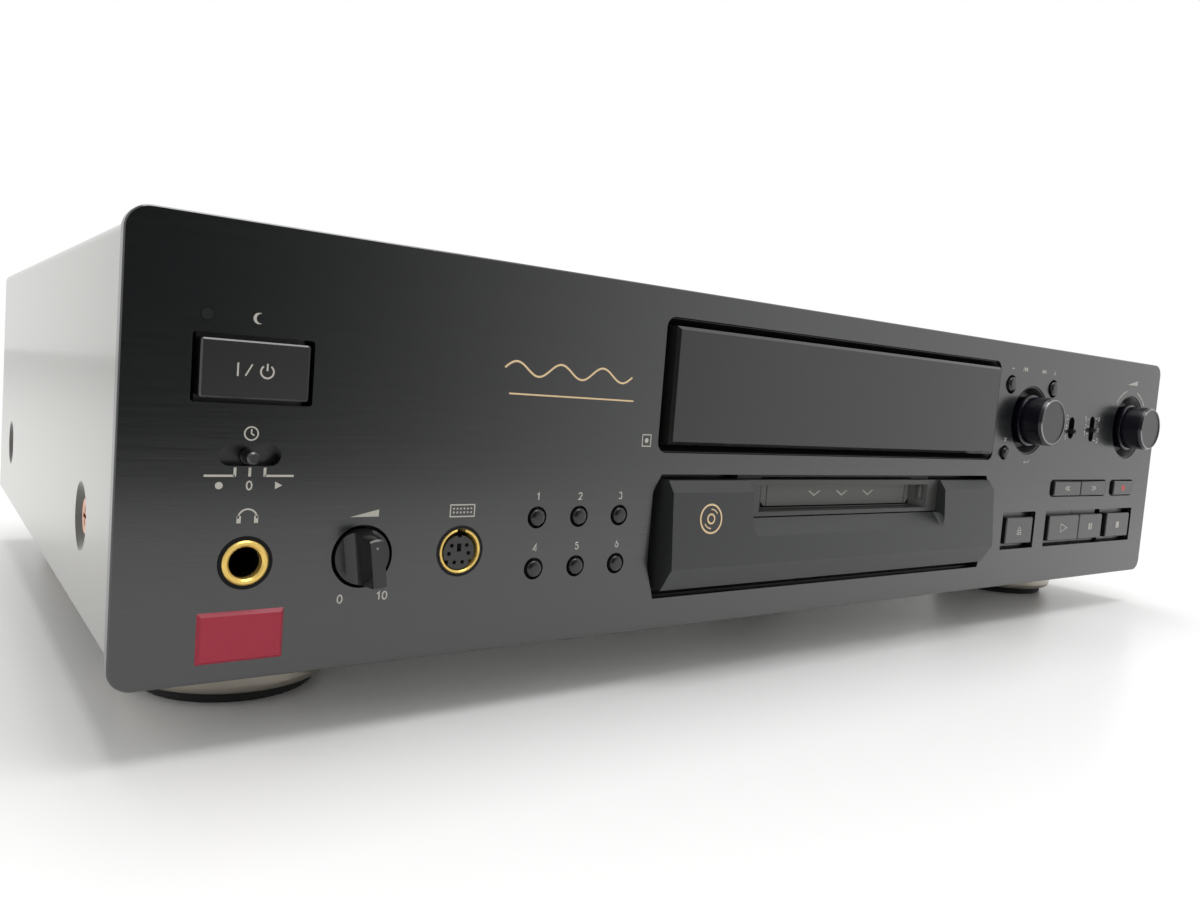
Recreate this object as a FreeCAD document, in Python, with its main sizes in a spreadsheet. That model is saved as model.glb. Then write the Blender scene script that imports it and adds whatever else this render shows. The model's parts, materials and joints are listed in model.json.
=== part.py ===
import FreeCAD, Part
import math
import os
from types import SimpleNamespace

import Sketcher

# A minidisc deck: a full width hi-fi component that records and plays small discs in cartridges.
# +X is to the right seen from the front, +Y to the rear, +Z up. The origin is on the ground, in the
# middle of the deck's footprint. All sizes are millimetres. A name that ends in _up is a height above
# the front plate's lower edge, one that ends in _from_left or _from_right is a distance from that end
# of the plate, and one that ends in _x is a distance right of the deck's middle.

SIZES = {
    # Front plate
    "panel_width": 430.0,
    "panel_height": 94.2,
    "panel_thick": 3.0,
    "panel_corner": 4.8,
    "panel_bevel": 0.3,
    # Reach of the case
    "cover_depth": 254.0,
    "knob_reach": 9.7,
    "jack_reach": 8.5,
    # Top cover
    "cover_step": 0.5,
    "cover_low": 6.7,
    "cover_high": 91.6,
    "sheet_thick": 1.2,
    "cover_bend": 2.6,
    "dimple_radius": 8.0,
    "dimple_floor": 5.0,
    "dimple_depth": 3.0,
    "dimple_front": 42.0,
    "dimple_rear": 212.0,
    "dimple_up": 28.2,
    "lip_tall": 12.0,
    "lip_inset": 6.0,
    # Screws
    "screw_head": 4.0,
    "screw_head_thick": 2.1,
    "screw_shank": 1.5,
    "screw_length": 5.0,
    "screw_cross": 0.9,
    "screw_cross_span": 4.6,
    "screw_cross_depth": 1.1,
    "rear_screw_from_right": 45.0,
    # Bottom chassis and rear panel
    "chassis_inset": 0.8,
    "chassis_wall_up": 50.0,
    "chassis_wall_start": 20.0,
    "standoff_radius": 3.0,
    "standoff_tall": 8.0,
    "vent_long": 42.0,
    "vent_wide": 3.0,
    "vent_pitch": 9.0,
    "vent_count": 9,
    "vent_start": 60.0,
    # Feet
    "foot_height": 15.5,
    "foot_from_right": 36.5,
    "foot_front": 50.0,
    "foot_rear": 212.0,
    "foot_radius": 25.0,
    "foot_neck": 17.0,
    "foot_top_gap": 0.7,
    "foot_bevel": 0.6,
    "foot_round": 2.2,
    "pad_radius": 21.3,
    "pad_tall": 3.9,
    "pad_seat": 1.0,
    "pad_gap": 0.2,
    # Moulded front frame behind the plate
    "frame_gap": 3.5,
    "frame_wall": 2.0,
    "frame_rim": 2.0,
    "frame_corner": 1.5,
    "seat_gap": 0.2,
    # Display window
    "bay_left_margin": 133.3,
    "bay_right_margin": 131.9,
    "window_hole_tall": 37.2,
    "window_hole_corner": 3.0,
    "window_up": 68.0,
    "surround_set": 0.6,
    "surround_slope": 2.4,
    "window_side_gap": 2.65,
    "window_tall": 32.4,
    "window_proud": 2.0,
    "window_seat": 5.0,
    "window_bevel": 0.9,
    "window_light_margin": 4.75,
    "window_light_tall": 27.0,
    # Slot bezel
    "slot_hole_spread": 0.3,
    "slot_hole_low": 8.6,
    "slot_hole_high": 43.45,
    "slot_hole_top_in": 2.6,
    "slot_hole_top_drop": 5.0,
    "slot_hole_low_in": 2.8,
    "slot_hole_low_rise": 9.0,
    "bezel_side_gap": 3.8,
    "bezel_top_up": 42.0,
    "bezel_top_proud": 1.9,
    "bezel_brow_up": 38.9,
    "bezel_brow_proud": 4.3,
    "bezel_chin_up": 17.8,
    "bezel_chin_proud": 6.0,
    "bezel_low_up": 11.2,
    "notch_wide": 95.8,
    "notch_front_up": 25.2,
    "notch_back_up": 30.6,
    "notch_corner": 2.2,
    # Slot mouth and its shutter
    "mouth_proud": 1.0,
    "mouth_gap": 0.4,
    "mouth_wide": 84.0,
    "mouth_low_up": 32.3,
    "mouth_high_up": 40.4,
    "mouth_hood_up": 45.5,
    "recess_wide": 3.0,
    "recess_tall": 4.8,
    "recess_up": 37.6,
    "recess_deep": 1.6,
    "shutter_wide": 74.2,
    "shutter_low_up": 33.4,
    "shutter_axis_up": 41.2,
    "shutter_face": 3.2,
    "shutter_thick": 1.2,
    "shutter_pin": 0.8,
    "shutter_pin_long": 2.5,
    "shutter_gap": 0.4,
    "shutter_clip": 1.6,
    "shutter_groove": 0.3,
    "shutter_groove_in": 2.5,
    # Fits
    "running_gap": 0.05,
    "free_gap": 0.3,
    "hole_gap": 0.1,
    # Push buttons
    "button_flange": 1.2,
    "flange_lap": 1.3,
    "stem_radius": 1.5,
    "stem_end": 10.4,
    "button_bevel": 0.35,
    "cap_corner": 0.6,
    "column_from_left": 25.05,
    "power_up": 64.4,
    "power_hole_wide": 24.35,
    "power_hole_tall": 13.8,
    "power_wide": 21.7,
    "power_tall": 11.7,
    "power_proud": 1.35,
    "hole_corner": 0.8,
    "small_hole": 2.8,
    "small_radius": 2.15,
    "small_proud": 1.0,
    "menu_proud": 1.25,
    "clear_proud": 1.5,
    "pitch_from_left": 95.85,
    "filter_from_left": 108.7,
    "time_from_left": 121.8,
    "upper_row_up": 32.45,
    "lower_row_up": 19.45,
    "menu_hole": 3.6,
    "menu_radius": 2.8,
    "menu_from_right": 123.8,
    "yes_from_right": 93.1,
    "menu_up": 78.5,
    "clear_from_right": 124.0,
    "clear_up": 52.4,
    "skip_hole_wide": 47.0,
    "skip_hole_tall": 7.2,
    "skip_hole_corner": 2.2,
    "skip_from_right": 63.5,
    "skip_up": 38.4,
    "skip_wide": 21.3,
    "skip_tall": 6.0,
    "key_gap": 0.4,
    "record_from_right": 25.8,
    "record_hole_wide": 21.6,
    "record_wide": 17.4,
    "key_proud": 1.0,
    "eject_from_right": 107.8,
    "transport_up": 21.8,
    "eject_hole_wide": 23.85,
    "transport_hole_tall": 14.7,
    "eject_wide": 19.0,
    "transport_tall": 10.4,
    "transport_proud": 0.55,
    "sill_rise": 1.5,
    "play_hole_wide": 74.6,
    "play_hole_from_right": 50.6,
    "play_wide": 24.2,
    "play_from_right": 73.3,
    "pause_wide": 19.8,
    "stop_wide": 20.6,
    "stop_from_right": 26.3,
    # Standby lamp, sockets and badge
    "lamp_from_left": 15.4,
    "lamp_up": 74.9,
    "lamp_radius": 1.2,
    "jack_up": 24.7,
    "jack_collar": 5.5,
    "jack_bore": 3.2,
    "jack_bore_deep": 30.0,
    "jack_body": 13.0,
    "jack_body_end": 34.0,
    "bush_radius": 4.75,
    "bush_bore": 3.4,
    "bush_deep": 2.4,
    "bush_proud": 0.5,
    "bush_round": 0.4,
    "keyboard_from_left": 74.7,
    "keyboard_up": 24.9,
    "keyboard_collar": 6.05,
    "shield_outer": 5.4,
    "shield_inner": 4.7,
    "shield_edge": 0.2,
    "shield_split": 2.2,
    "shield_deep": 8.0,
    "insert_radius": 4.1,
    "insert_set": 0.4,
    "insert_drop": 0.4,
    "insert_notch": 1.0,
    "insert_notch_out": 3.2,
    "insert_notch_drop": 2.3,
    "pin_hole": 0.5,
    "pin_hole_deep": 5.0,
    "pin_ring": 2.6,
    "key_slot_wide": 1.15,
    "key_slot_tall": 1.95,
    "key_slot_lift": 1.15,
    "badge_from_left": 24.75,
    "badge_up": 9.4,
    "badge_wide": 17.5,
    "badge_tall": 10.65,
    "badge_thick": 0.9,
    "badge_bevel": 0.7,
    # Slide switches
    "timer_up": 47.0,
    "timer_slot_long": 12.5,
    "timer_slot_tall": 4.4,
    "mode_from_right": 75.4,
    "mode_up": 63.4,
    "mode_slot_wide": 4.4,
    "mode_slot_tall": 9.0,
    "mode_pin_drop": 1.4,
    "input_from_right": 58.4,
    "input_up": 63.5,
    "input_slot_wide": 4.0,
    "input_slot_tall": 10.7,
    "input_pin_drop": 0.5,
    "timer_pin": 1.3,
    "timer_pin_drop": 0.4,
    "side_pin": 0.9,
    "switch_pin_proud": 2.4,
    "switch_pin_bevel": 0.4,
    "switch_collar": 1.6,
    "switch_collar_long": 1.5,
    "switch_travel": 3.0,
    "carriage_thick": 1.2,
    "carriage_lap": 1.2,
    # Knobs
    "dial_from_left": 50.35,
    "dial_up": 24.8,
    "dial_hole": 7.1,
    "dial_radius": 6.3,
    "dial_set": 0.3,
    "dial_blade_wide": 3.0,
    "dial_scoop": 2.6,
    "dial_blade_round": 5.45,
    "dial_blade_proud": 9.2,
    "dial_back": 3.5,
    "jog_from_right": 108.0,
    "level_from_right": 26.0,
    "knob_up": 65.3,
    "jog_hole": 13.5,
    "level_hole": 14.0,
    "well_wall": 0.6,
    "well_floor": 10.9,
    "well_deep": 4.0,
    "knob_radius": 9.2,
    "knob_skirt": 9.95,
    "knob_skirt_thick": 1.0,
    "knob_bevel": 0.7,
    "knob_bevel_long": 1.25,
    "knob_land": 0.6,
    "knob_dish": 0.3,
    "knob_back": 3.0,
    "shaft_radius": 3.0,
    "shaft_end": 14.0,
    "shaft_hole": 4.6,
    "bush_outer": 4.3,
    "pot_body": 16.0,
    "rotor_front": 4.0,
    "rotor_room": 1.2,
    # Boards and display tube
    "board_front": 15.0,
    "board_thick": 1.6,
    "board_end_gap": 9.0,
    "board_low_up": 10.0,
    "board_high_up": 88.0,
    "board_notch_gap": 7.5,
    "board_notch_up": 47.5,
    "switch_body": 6.0,
    "switch_body_thick": 3.5,
    "tube_thick": 6.5,
    "tube_gap": 1.0,
    "tube_tall": 25.0,
    # Disc mechanism
    "mech_half": 58.5,
    "mech_front": 14.0,
    "mech_long": 122.0,
    "mech_base_up": 18.0,
    "mech_wall_up": 44.0,
    "mech_leg": 4.0,
    "mech_leg_in": 8.0,
    "rail_in": 34.0,
    "rail_thick": 1.5,
    "rail_long": 92.0,
    "holder_front": 13.0,
    "holder_long": 66.0,
    "holder_low_up": 32.0,
    "holder_half": 38.2,
    "holder_wall": 1.8,
    "holder_ledge": 8.0,
    "cartridge_room": 5.7,
    "gear_module": 1.0,
    "gear_teeth": 16,
    "gear_addendum": 0.9,
    "gear_dedendum": 1.15,
    "gear_tip_half": 0.35,
    "gear_root_half": 0.95,
    "gear_thick": 4.0,
    "gear_up": 34.0,
    "gear_y": 60.0,
    "gear_shaft": 1.5,
    "rack_teeth": 12,
    "holder_travel": 24.0,
    "spindle_motor_radius": 11.0,
    "turntable_radius": 10.0,
    "turntable_up": 29.0,
    "turntable_thick": 2.2,
    "turntable_shaft": 1.0,
    "motor_wall_gap": 0.5,
    "loading_motor_radius": 7.0,
    "rod_radius": 1.5,
    "rod_half": 18.0,
    "rod_up": 24.5,
    "rod_start": 76.5,
    "post_wide": 5.0,
    "sled_half": 22.0,
    "sled_long": 14.0,
    "sled_low_up": 21.5,
    "sled_tall": 6.0,
    "lens_radius": 3.5,
    "lens_edge": 0.5,
    "lens_tall": 2.4,
    "screw_x": 28.0,
    "screw_end": 114.0,
    "sled_motor_radius": 4.5,
    "sled_motor_long": 14.0,
    "arm_half": 5.0,
    "arm_thick": 1.5,
    "arm_up": 45.0,
    "arm_tip": 82.0,
    "arm_pivot": 122.0,
    "arm_pivot_up": 46.5,
    "arm_barrel": 3.0,
    "ear_half": 5.5,
    "ear_thick": 3.0,
    "head_tall": 3.0,
    "head_long": 8.0,
    # Power supply and main board
    "transformer_from_left": 65.0,
    "transformer_y": 165.0,
    "core_wide": 66.0,
    "core_deep": 30.0,
    "core_tall": 56.0,
    "core_leg": 22.0,
    "core_window_tall": 34.0,
    "core_window_wide": 11.0,
    "core_lug": 9.0,
    "core_lug_tall": 2.0,
    "winding_over": 8.0,
    "winding_gap": 0.4,
    "main_board_gap": 2.8,
    "main_board_end_gap": 15.0,
    "main_board_y": 165.0,
    "main_board_deep": 140.0,
    "standoff_inset": 6.0,
    "capacitor_radius": 9.0,
    "capacitor_tall": 30.0,
    "capacitor_pitch": 22.0,
    "capacitor_in": 14.0,
    "capacitor_y": 120.0,
    # Rear sockets
    "line_from_right": 45.0,
    "line_pitch": 18.0,
    "line_up": 58.0,
    "line_radius": 4.15,
    "line_flange": 5.5,
    "line_flange_thick": 1.0,
    "line_bore": 1.7,
    "line_inside": 12.0,
    "optical_from_right": 120.0,
    "optical_pitch": 20.0,
    "optical_up": 66.0,
    "optical_body": 11.0,
    "optical_hole": 6.4,
    "optical_hole_deep": 8.0,
    "optical_inside": 14.0,
    "optical_proud": 1.5,
    "inlet_from_left": 50.0,
    "inlet_up": 30.0,
    "inlet_wide": 22.0,
    "inlet_tall": 13.0,
    "inlet_inside": 18.0,
    "inlet_flange": 2.0,
    "inlet_flange_thick": 1.5,
    "inlet_hole_wide": 16.0,
    "inlet_hole_tall": 8.6,
    "inlet_hole_deep": 13.0,
    "inlet_pin": 1.2,
    "inlet_pin_half": 4.3,
    "inlet_pin_long": 11.0,
}

TINY = 0.01
QUARTER_TURN = 90
HALF_TURN = 180
FULL_TURN = 360
DIAL_TURN = 8
PIN_ANGLES = (-114, -66, -6, 40, 140, 186)

doc = FreeCAD.newDocument("MinidiscDeck")
sheet = doc.addObject("Spreadsheet::Sheet", "Sizes")
for row, (name, number) in enumerate(SIZES.items(), start=1):
    sheet.set(f"A{row}", name)
    sheet.set(f"B{row}", str(number))
    sheet.setAlias(f"B{row}", name)
doc.recompute()


class Length:
    """A size as a number, with the formula that ties it to the sheet."""

    def __init__(self, number, formula):
        self.number = number
        self.formula = formula

    def __add__(self, other):
        other = as_length(other)
        return Length(self.number + other.number, f"({self.formula} + {other.formula})")

    def __sub__(self, other):
        other = as_length(other)
        return Length(self.number - other.number, f"({self.formula} - {other.formula})")

    def __rsub__(self, other):
        return as_length(other) - self

    def __mul__(self, other):
        other = as_length(other)
        return Length(self.number * other.number, f"({self.formula} * {other.formula})")

    def __truediv__(self, other):
        other = as_length(other)
        return Length(self.number / other.number, f"({self.formula} / {other.formula})")

    def __neg__(self):
        return Length(-self.number, f"(-{self.formula})")

    __radd__ = __add__
    __rmul__ = __mul__


def as_length(value):
    if isinstance(value, Length):
        return value
    return Length(float(value), f"({float(value):.9f})")


size = SimpleNamespace(**{name: Length(number, f"Sizes.{name}") for name, number in SIZES.items()})
ZERO = as_length(0)

# Places that keep their distance from an end of the plate, as distances right of the deck's middle.
for name in SIZES:
    if name.endswith("_from_left"):
        place_name = name.replace("_from_left", "_x")
        setattr(size, place_name, getattr(size, name) - size.panel_width / 2)
    elif name.endswith("_from_right"):
        place_name = name.replace("_from_right", "_x")
        setattr(size, place_name, size.panel_width / 2 - getattr(size, name))

# Levels that many pieces share. The front plate's face and the rear panel's face are set so that the
# knobs' fronts and the line jacks' ends lie at the same distance from the middle of the deck.
ground = ZERO
base = size.foot_height
face = (size.knob_reach - size.cover_depth - size.jack_reach) / 2
back = face + size.cover_depth
plate_back = face + size.panel_thick
frame_front = plate_back + size.frame_gap
frame_back = frame_front + size.frame_wall
cover_half = size.panel_width / 2 - size.cover_step
cover_inside = cover_half - size.sheet_thick
chassis_top = base + size.cover_low
case_top = base + size.cover_high - size.sheet_thick
chassis_low = chassis_top - size.sheet_thick
chassis_side = cover_half - size.dimple_depth - size.sheet_thick
board_front = face + size.board_front

# The display window and the slot bezel share one middle, between the margins at the plate's ends.
bay_x = (size.bay_left_margin - size.bay_right_margin) / 2
window_hole_wide = size.panel_width - size.bay_left_margin - size.bay_right_margin
window_wide = window_hole_wide - size.window_side_gap * 2
window_light_wide = window_wide - size.window_light_margin * 2
slot_hole_wide = window_hole_wide + size.slot_hole_spread * 2
bezel_wide = slot_hole_wide - size.bezel_side_gap * 2

LEFT = FreeCAD.Rotation(FreeCAD.Vector(0, 1, 0), -QUARTER_TURN)
RIGHT = FreeCAD.Rotation(FreeCAD.Vector(0, 1, 0), QUARTER_TURN)
REAR = FreeCAD.Rotation(FreeCAD.Vector(1, 0, 0), -QUARTER_TURN)
FRONT = FreeCAD.Rotation(FreeCAD.Vector(1, 0, 0), QUARTER_TURN)
UP = FreeCAD.Rotation()

NODES = {}


def node(name, piece):
    """Name a finished piece, which is written to a file of its own."""
    piece.Label = name
    NODES[name] = piece
    return piece


def tie(piece, property_name, length):
    piece.setExpression(property_name, as_length(length).formula)


def place(piece, x, y, z, turn=UP):
    piece.Placement = FreeCAD.Placement(FreeCAD.Vector(0, 0, 0), turn)
    tie(piece, "Placement.Base.x", x)
    tie(piece, "Placement.Base.y", y)
    tie(piece, "Placement.Base.z", z)
    return piece


def block(x, y, z, wide, deep, tall, centre=""):
    """A box from its low corner, or centred on the axes that centre names."""
    box = doc.addObject("Part::Box", "Block")
    for property_name, span in (("Length", wide), ("Width", deep), ("Height", tall)):
        tie(box, property_name, span)
    corner = []
    for axis, low, span in (("x", x, wide), ("y", y, deep), ("z", z, tall)):
        corner.append(low - as_length(span) / 2 if axis in centre else low)
    return place(box, *corner)


def rod(x, y, z, radius, long, turn=REAR):
    cylinder = doc.addObject("Part::Cylinder", "Rod")
    tie(cylinder, "Radius", radius)
    tie(cylinder, "Height", long)
    return place(cylinder, x, y, z, turn)


def cone(x, y, z, radius, end_radius, long, turn):
    shape = doc.addObject("Part::Cone", "Cone")
    tie(shape, "Radius1", radius)
    tie(shape, "Radius2", end_radius)
    tie(shape, "Height", long)
    return place(shape, x, y, z, turn)


def taper(x, y, z, wide, tall, end_wide, end_tall, deep):
    """A block whose front face, centred on x and z, changes to its rear face's size over deep."""
    wedge = doc.addObject("Part::Wedge", "Taper")
    for property_name, length in (
        ("Xmin", -wide / 2), ("Xmax", wide / 2), ("Zmin", -tall / 2), ("Zmax", tall / 2),
        ("X2min", -end_wide / 2), ("X2max", end_wide / 2),
        ("Z2min", -end_tall / 2), ("Z2max", end_tall / 2), ("Ymin", ZERO), ("Ymax", deep),
    ):
        tie(wedge, property_name, length)
    return place(wedge, x, y, z)


def group(pieces, name="Group"):
    compound = doc.addObject("Part::Compound", name)
    compound.Links = list(pieces)
    return compound


def fuse(*pieces):
    joined = doc.addObject("Part::MultiFuse", "Joined")
    joined.Shapes = list(pieces)
    return joined


def cut(piece, *tools):
    opened = doc.addObject("Part::Cut", "Opened")
    opened.Base = piece
    opened.Tool = tools[0] if len(tools) == 1 else group(tools)
    return opened


class Drawing:
    """A sketch on one of a body's own planes, with every size tied to the sheet."""

    def __init__(self, body, role, lift=None):
        self.sketch = body.newObject("Sketcher::SketchObject", "Sketch")
        plane = [feature for feature in body.Origin.OriginFeatures if feature.Role == role][0]
        self.sketch.AttachmentSupport = [(plane, "")]
        self.sketch.MapMode = "FlatFace"
        if lift is not None:
            tie(self.sketch, "AttachmentOffset.Base.z", lift)

    def bind(self, kind, target, length):
        length = as_length(length)
        index = self.sketch.addConstraint(Sketcher.Constraint(kind, *target, length.number))
        tie(self.sketch, f"Constraints[{index}]", length)

    def hold(self, geometry, point, across=None, along=None):
        if across is not None:
            self.bind("DistanceX", (-1, 1, geometry, point), across)
        if along is not None:
            self.bind("DistanceY", (-1, 1, geometry, point), along)

    def polygon(self, corners):
        corners = [(as_length(across), as_length(along)) for across, along in corners]
        points = [FreeCAD.Vector(across.number, along.number, 0) for across, along in corners]
        lines = [Part.LineSegment(a, b) for a, b in zip(points, points[1:] + points[:1])]
        ids = self.sketch.addGeometry(lines, False)
        for this, following in zip(ids, ids[1:] + ids[:1]):
            self.sketch.addConstraint(Sketcher.Constraint("Coincident", this, 2, following, 1))
        for line, (across, along) in zip(ids, corners):
            self.hold(line, 1, across, along)

    def circle(self, across, along, radius):
        centre = FreeCAD.Vector(as_length(across).number, as_length(along).number, 0)
        ring = Part.Circle(centre, FreeCAD.Vector(0, 0, 1), radius.number)
        index = self.sketch.addGeometry(ring, False)
        self.hold(index, 3, across, along)
        self.bind("Radius", (index,), radius)

    def arc(self, centre, radius, start):
        ring = Part.Circle(FreeCAD.Vector(*centre, 0), FreeCAD.Vector(0, 0, 1), radius.number)
        return ring, math.radians(start)

    def round_rectangle(self, across, along, wide, tall, corner):
        across, along = as_length(across), as_length(along)
        left, right = across - wide / 2, across + wide / 2
        low, high = along - tall / 2, along + tall / 2
        x0, x1, z0, z1 = left.number, right.number, low.number, high.number
        inset = corner.number
        vector = FreeCAD.Vector
        lines = [
            Part.LineSegment(vector(x0 + inset, z0, 0), vector(x1 - inset, z0, 0)),
            Part.LineSegment(vector(x1, z0 + inset, 0), vector(x1, z1 - inset, 0)),
            Part.LineSegment(vector(x1 - inset, z1, 0), vector(x0 + inset, z1, 0)),
            Part.LineSegment(vector(x0, z1 - inset, 0), vector(x0, z0 + inset, 0)),
        ]
        centres = [(x1 - inset, z0 + inset), (x1 - inset, z1 - inset),
                   (x0 + inset, z1 - inset), (x0 + inset, z0 + inset)]
        arcs = []
        for quarter, centre in enumerate(centres):
            ring, start = self.arc(centre, corner, QUARTER_TURN * (quarter - 1))
            arcs.append(Part.ArcOfCircle(ring, start, start + math.pi / 2))
        line_ids = self.sketch.addGeometry(lines, False)
        arc_ids = self.sketch.addGeometry(arcs, False)
        for turn in range(4):
            ends = (line_ids[turn], 2, arc_ids[turn], 1)
            starts = (arc_ids[turn], 2, line_ids[(turn + 1) % 4], 1)
            self.sketch.addConstraint(Sketcher.Constraint("Tangent", *ends))
            self.sketch.addConstraint(Sketcher.Constraint("Tangent", *starts))
        for index, kind in zip(line_ids, ("Horizontal", "Vertical", "Horizontal", "Vertical")):
            self.sketch.addConstraint(Sketcher.Constraint(kind, index))
        for index in arc_ids[1:]:
            self.sketch.addConstraint(Sketcher.Constraint("Equal", arc_ids[0], index))
        self.bind("Radius", (arc_ids[0],), corner)
        self.hold(line_ids[1], 1, across=right)
        self.hold(line_ids[3], 1, across=left)
        self.hold(line_ids[0], 1, along=low)
        self.hold(line_ids[2], 1, along=high)

    def rectangle(self, across, along, wide, tall):
        left, right = across - wide / 2, across + wide / 2
        low, high = along - tall / 2, along + tall / 2
        self.polygon([(left, low), (right, low), (right, high), (left, high)])

    def stadium(self, across, along, long, wide, upright=False):
        """A slot with round ends, along the first axis or, upright, along the second."""
        radius = wide / 2
        reach = long / 2 - radius
        across, along = as_length(across), as_length(along)
        if upright:
            far, near = (across, along + reach), (across, along - reach)
            start = 0
            side = (radius.number, 0)
        else:
            far, near = (across + reach, along), (across - reach, along)
            start = -QUARTER_TURN
            side = (0, -radius.number)
        ends = []
        for turn, (x, z) in enumerate((far, near)):
            ring, angle = self.arc((x.number, z.number), radius, start + HALF_TURN * turn)
            ends.append(Part.ArcOfCircle(ring, angle, angle + math.pi))
        vector = FreeCAD.Vector

        def beside(end, way):
            return vector(end[0].number + way * side[0], end[1].number + way * side[1], 0)

        lines = [Part.LineSegment(beside(near, 1), beside(far, 1)),
                 Part.LineSegment(beside(far, -1), beside(near, -1))]
        arc_ids = self.sketch.addGeometry(ends, False)
        line_ids = self.sketch.addGeometry(lines, False)
        for line, arc_from, arc_to in ((line_ids[0], arc_ids[1], arc_ids[0]),
                                       (line_ids[1], arc_ids[0], arc_ids[1])):
            self.sketch.addConstraint(Sketcher.Constraint("Tangent", arc_from, 2, line, 1))
            self.sketch.addConstraint(Sketcher.Constraint("Tangent", line, 2, arc_to, 1))
        self.sketch.addConstraint(Sketcher.Constraint("Equal", *arc_ids))
        self.bind("Radius", (arc_ids[0],), radius)
        self.hold(arc_ids[0], 3, *far)
        self.hold(arc_ids[1], 3, *near)


def new_body(name="Body"):
    return doc.addObject("PartDesign::Body", name)


def front_drawing(body, depth):
    """A drawing in a plane across the deck, at a place along Y."""
    return Drawing(body, "XZ_Plane", -depth)


def pad(body, drawing, long, reverse=False, both_ways=False):
    feature = body.newObject("PartDesign::Pad", "Pad")
    feature.Profile = drawing.sketch
    feature.Reversed = reverse
    feature.Midplane = both_ways
    tie(feature, "Length", long)
    return feature


def pocket(body, drawing, long=None):
    """Cut a drawing right through its body, or by a length centred on the drawing's plane."""
    doc.recompute()
    before = body.Shape.Volume
    feature = body.newObject("PartDesign::Pocket", "Pocket")
    feature.Profile = drawing.sketch
    feature.Midplane = True
    if long is None:
        feature.Type = "ThroughAll"
    else:
        tie(feature, "Length", long)
    doc.recompute()
    if body.Shape.Volume > before - TINY:
        raise ValueError(f"{body.Label}: a pocket cuts nothing")
    return feature


def edges_where(feature, test):
    edges = enumerate(feature.Shape.Edges, start=1)
    return [f"Edge{index}" for index, edge in edges if test(edge.BoundBox)]


def soften(body, kind, feature, amount, test):
    """Add a fillet or a chamfer on those edges of a feature whose boxes pass a test."""
    doc.recompute()
    finish = body.newObject(f"PartDesign::{kind}", kind)
    finish.Base = (feature, edges_where(feature, test))
    tie(finish, "Radius" if kind == "Fillet" else "Size", amount)
    return finish


def bevel_front(body, feature, depth, amount):
    """Chamfer every edge that lies in the feature's front face."""
    front = depth.number + TINY
    return soften(body, "Chamfer", feature, amount, lambda box: box.YMax < front)


def turned(name, x, y, z, outline, along="Y"):
    """A body of revolution. The outline gives (radius, distance along the axis) pairs."""
    body = new_body(name)
    if along == "X":
        drawing = Drawing(body, "XY_Plane")
        outline = [(distance, radius) for radius, distance in outline]
        axis = "H_Axis"
    else:
        drawing = Drawing(body, "XY_Plane" if along == "Y" else "XZ_Plane")
        axis = "V_Axis"
    drawing.polygon(outline)
    feature = body.newObject("PartDesign::Revolution", "Revolution")
    feature.Profile = drawing.sketch
    feature.ReferenceAxis = (drawing.sketch, [axis])
    feature.Angle = FULL_TURN
    return place(body, x, y, z)


def up(height):
    """A height above the front plate's lower edge, in the deck's own frame."""
    return base + height


# Round buttons: place, cap's radius, hole's radius and how far the cap stands out of the plate.
small = (size.small_radius, size.small_hole, size.small_proud)
menu = (size.menu_radius, size.menu_hole, size.menu_proud)
ROUND_BUTTONS = {
    "pitch_button": (size.pitch_x, size.upper_row_up, *small),
    "filter_button": (size.filter_x, size.upper_row_up, *small),
    "time_button": (size.time_x, size.upper_row_up, *small),
    "play_mode_button": (size.pitch_x, size.lower_row_up, *small),
    "scroll_button": (size.filter_x, size.lower_row_up, *small),
    "display_button": (size.time_x, size.lower_row_up, *small),
    "clear_button": (size.clear_x, size.clear_up, size.small_radius, size.small_hole,
                     size.clear_proud),
    "menu_button": (size.menu_x, size.menu_up, *menu),
    "yes_button": (size.yes_x, size.menu_up, *menu),
}
skip_shift = (size.skip_wide + size.key_gap) / 2
pause_x = size.play_x + size.play_wide / 2 + size.key_gap + size.pause_wide / 2
# Keys: place, cap's width and height, how far it stands out of the plate and its hole's height.
KEYS = {
    "power_button": (size.column_x, size.power_up, size.power_wide, size.power_tall,
                     size.power_proud, size.power_hole_tall),
    "rewind_button": (size.skip_x - skip_shift, size.skip_up, size.skip_wide, size.skip_tall,
                      size.key_proud, size.skip_hole_tall),
    "forward_button": (size.skip_x + skip_shift, size.skip_up, size.skip_wide, size.skip_tall,
                       size.key_proud, size.skip_hole_tall),
    "record_button": (size.record_x, size.skip_up, size.record_wide, size.skip_tall,
                      size.key_proud, size.skip_hole_tall),
    "eject_button": (size.eject_x, size.transport_up, size.eject_wide, size.transport_tall,
                     size.transport_proud, size.transport_hole_tall),
    "play_button": (size.play_x, size.transport_up, size.play_wide, size.transport_tall,
                    size.transport_proud, size.transport_hole_tall),
    "pause_button": (pause_x, size.transport_up, size.pause_wide, size.transport_tall,
                     size.transport_proud, size.transport_hole_tall),
    "stop_button": (size.stop_x, size.transport_up, size.stop_wide, size.transport_tall,
                    size.transport_proud, size.transport_hole_tall),
}
STEM_PLACES = [(row[0], row[1]) for row in (*ROUND_BUTTONS.values(), *KEYS.values())]

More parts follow.
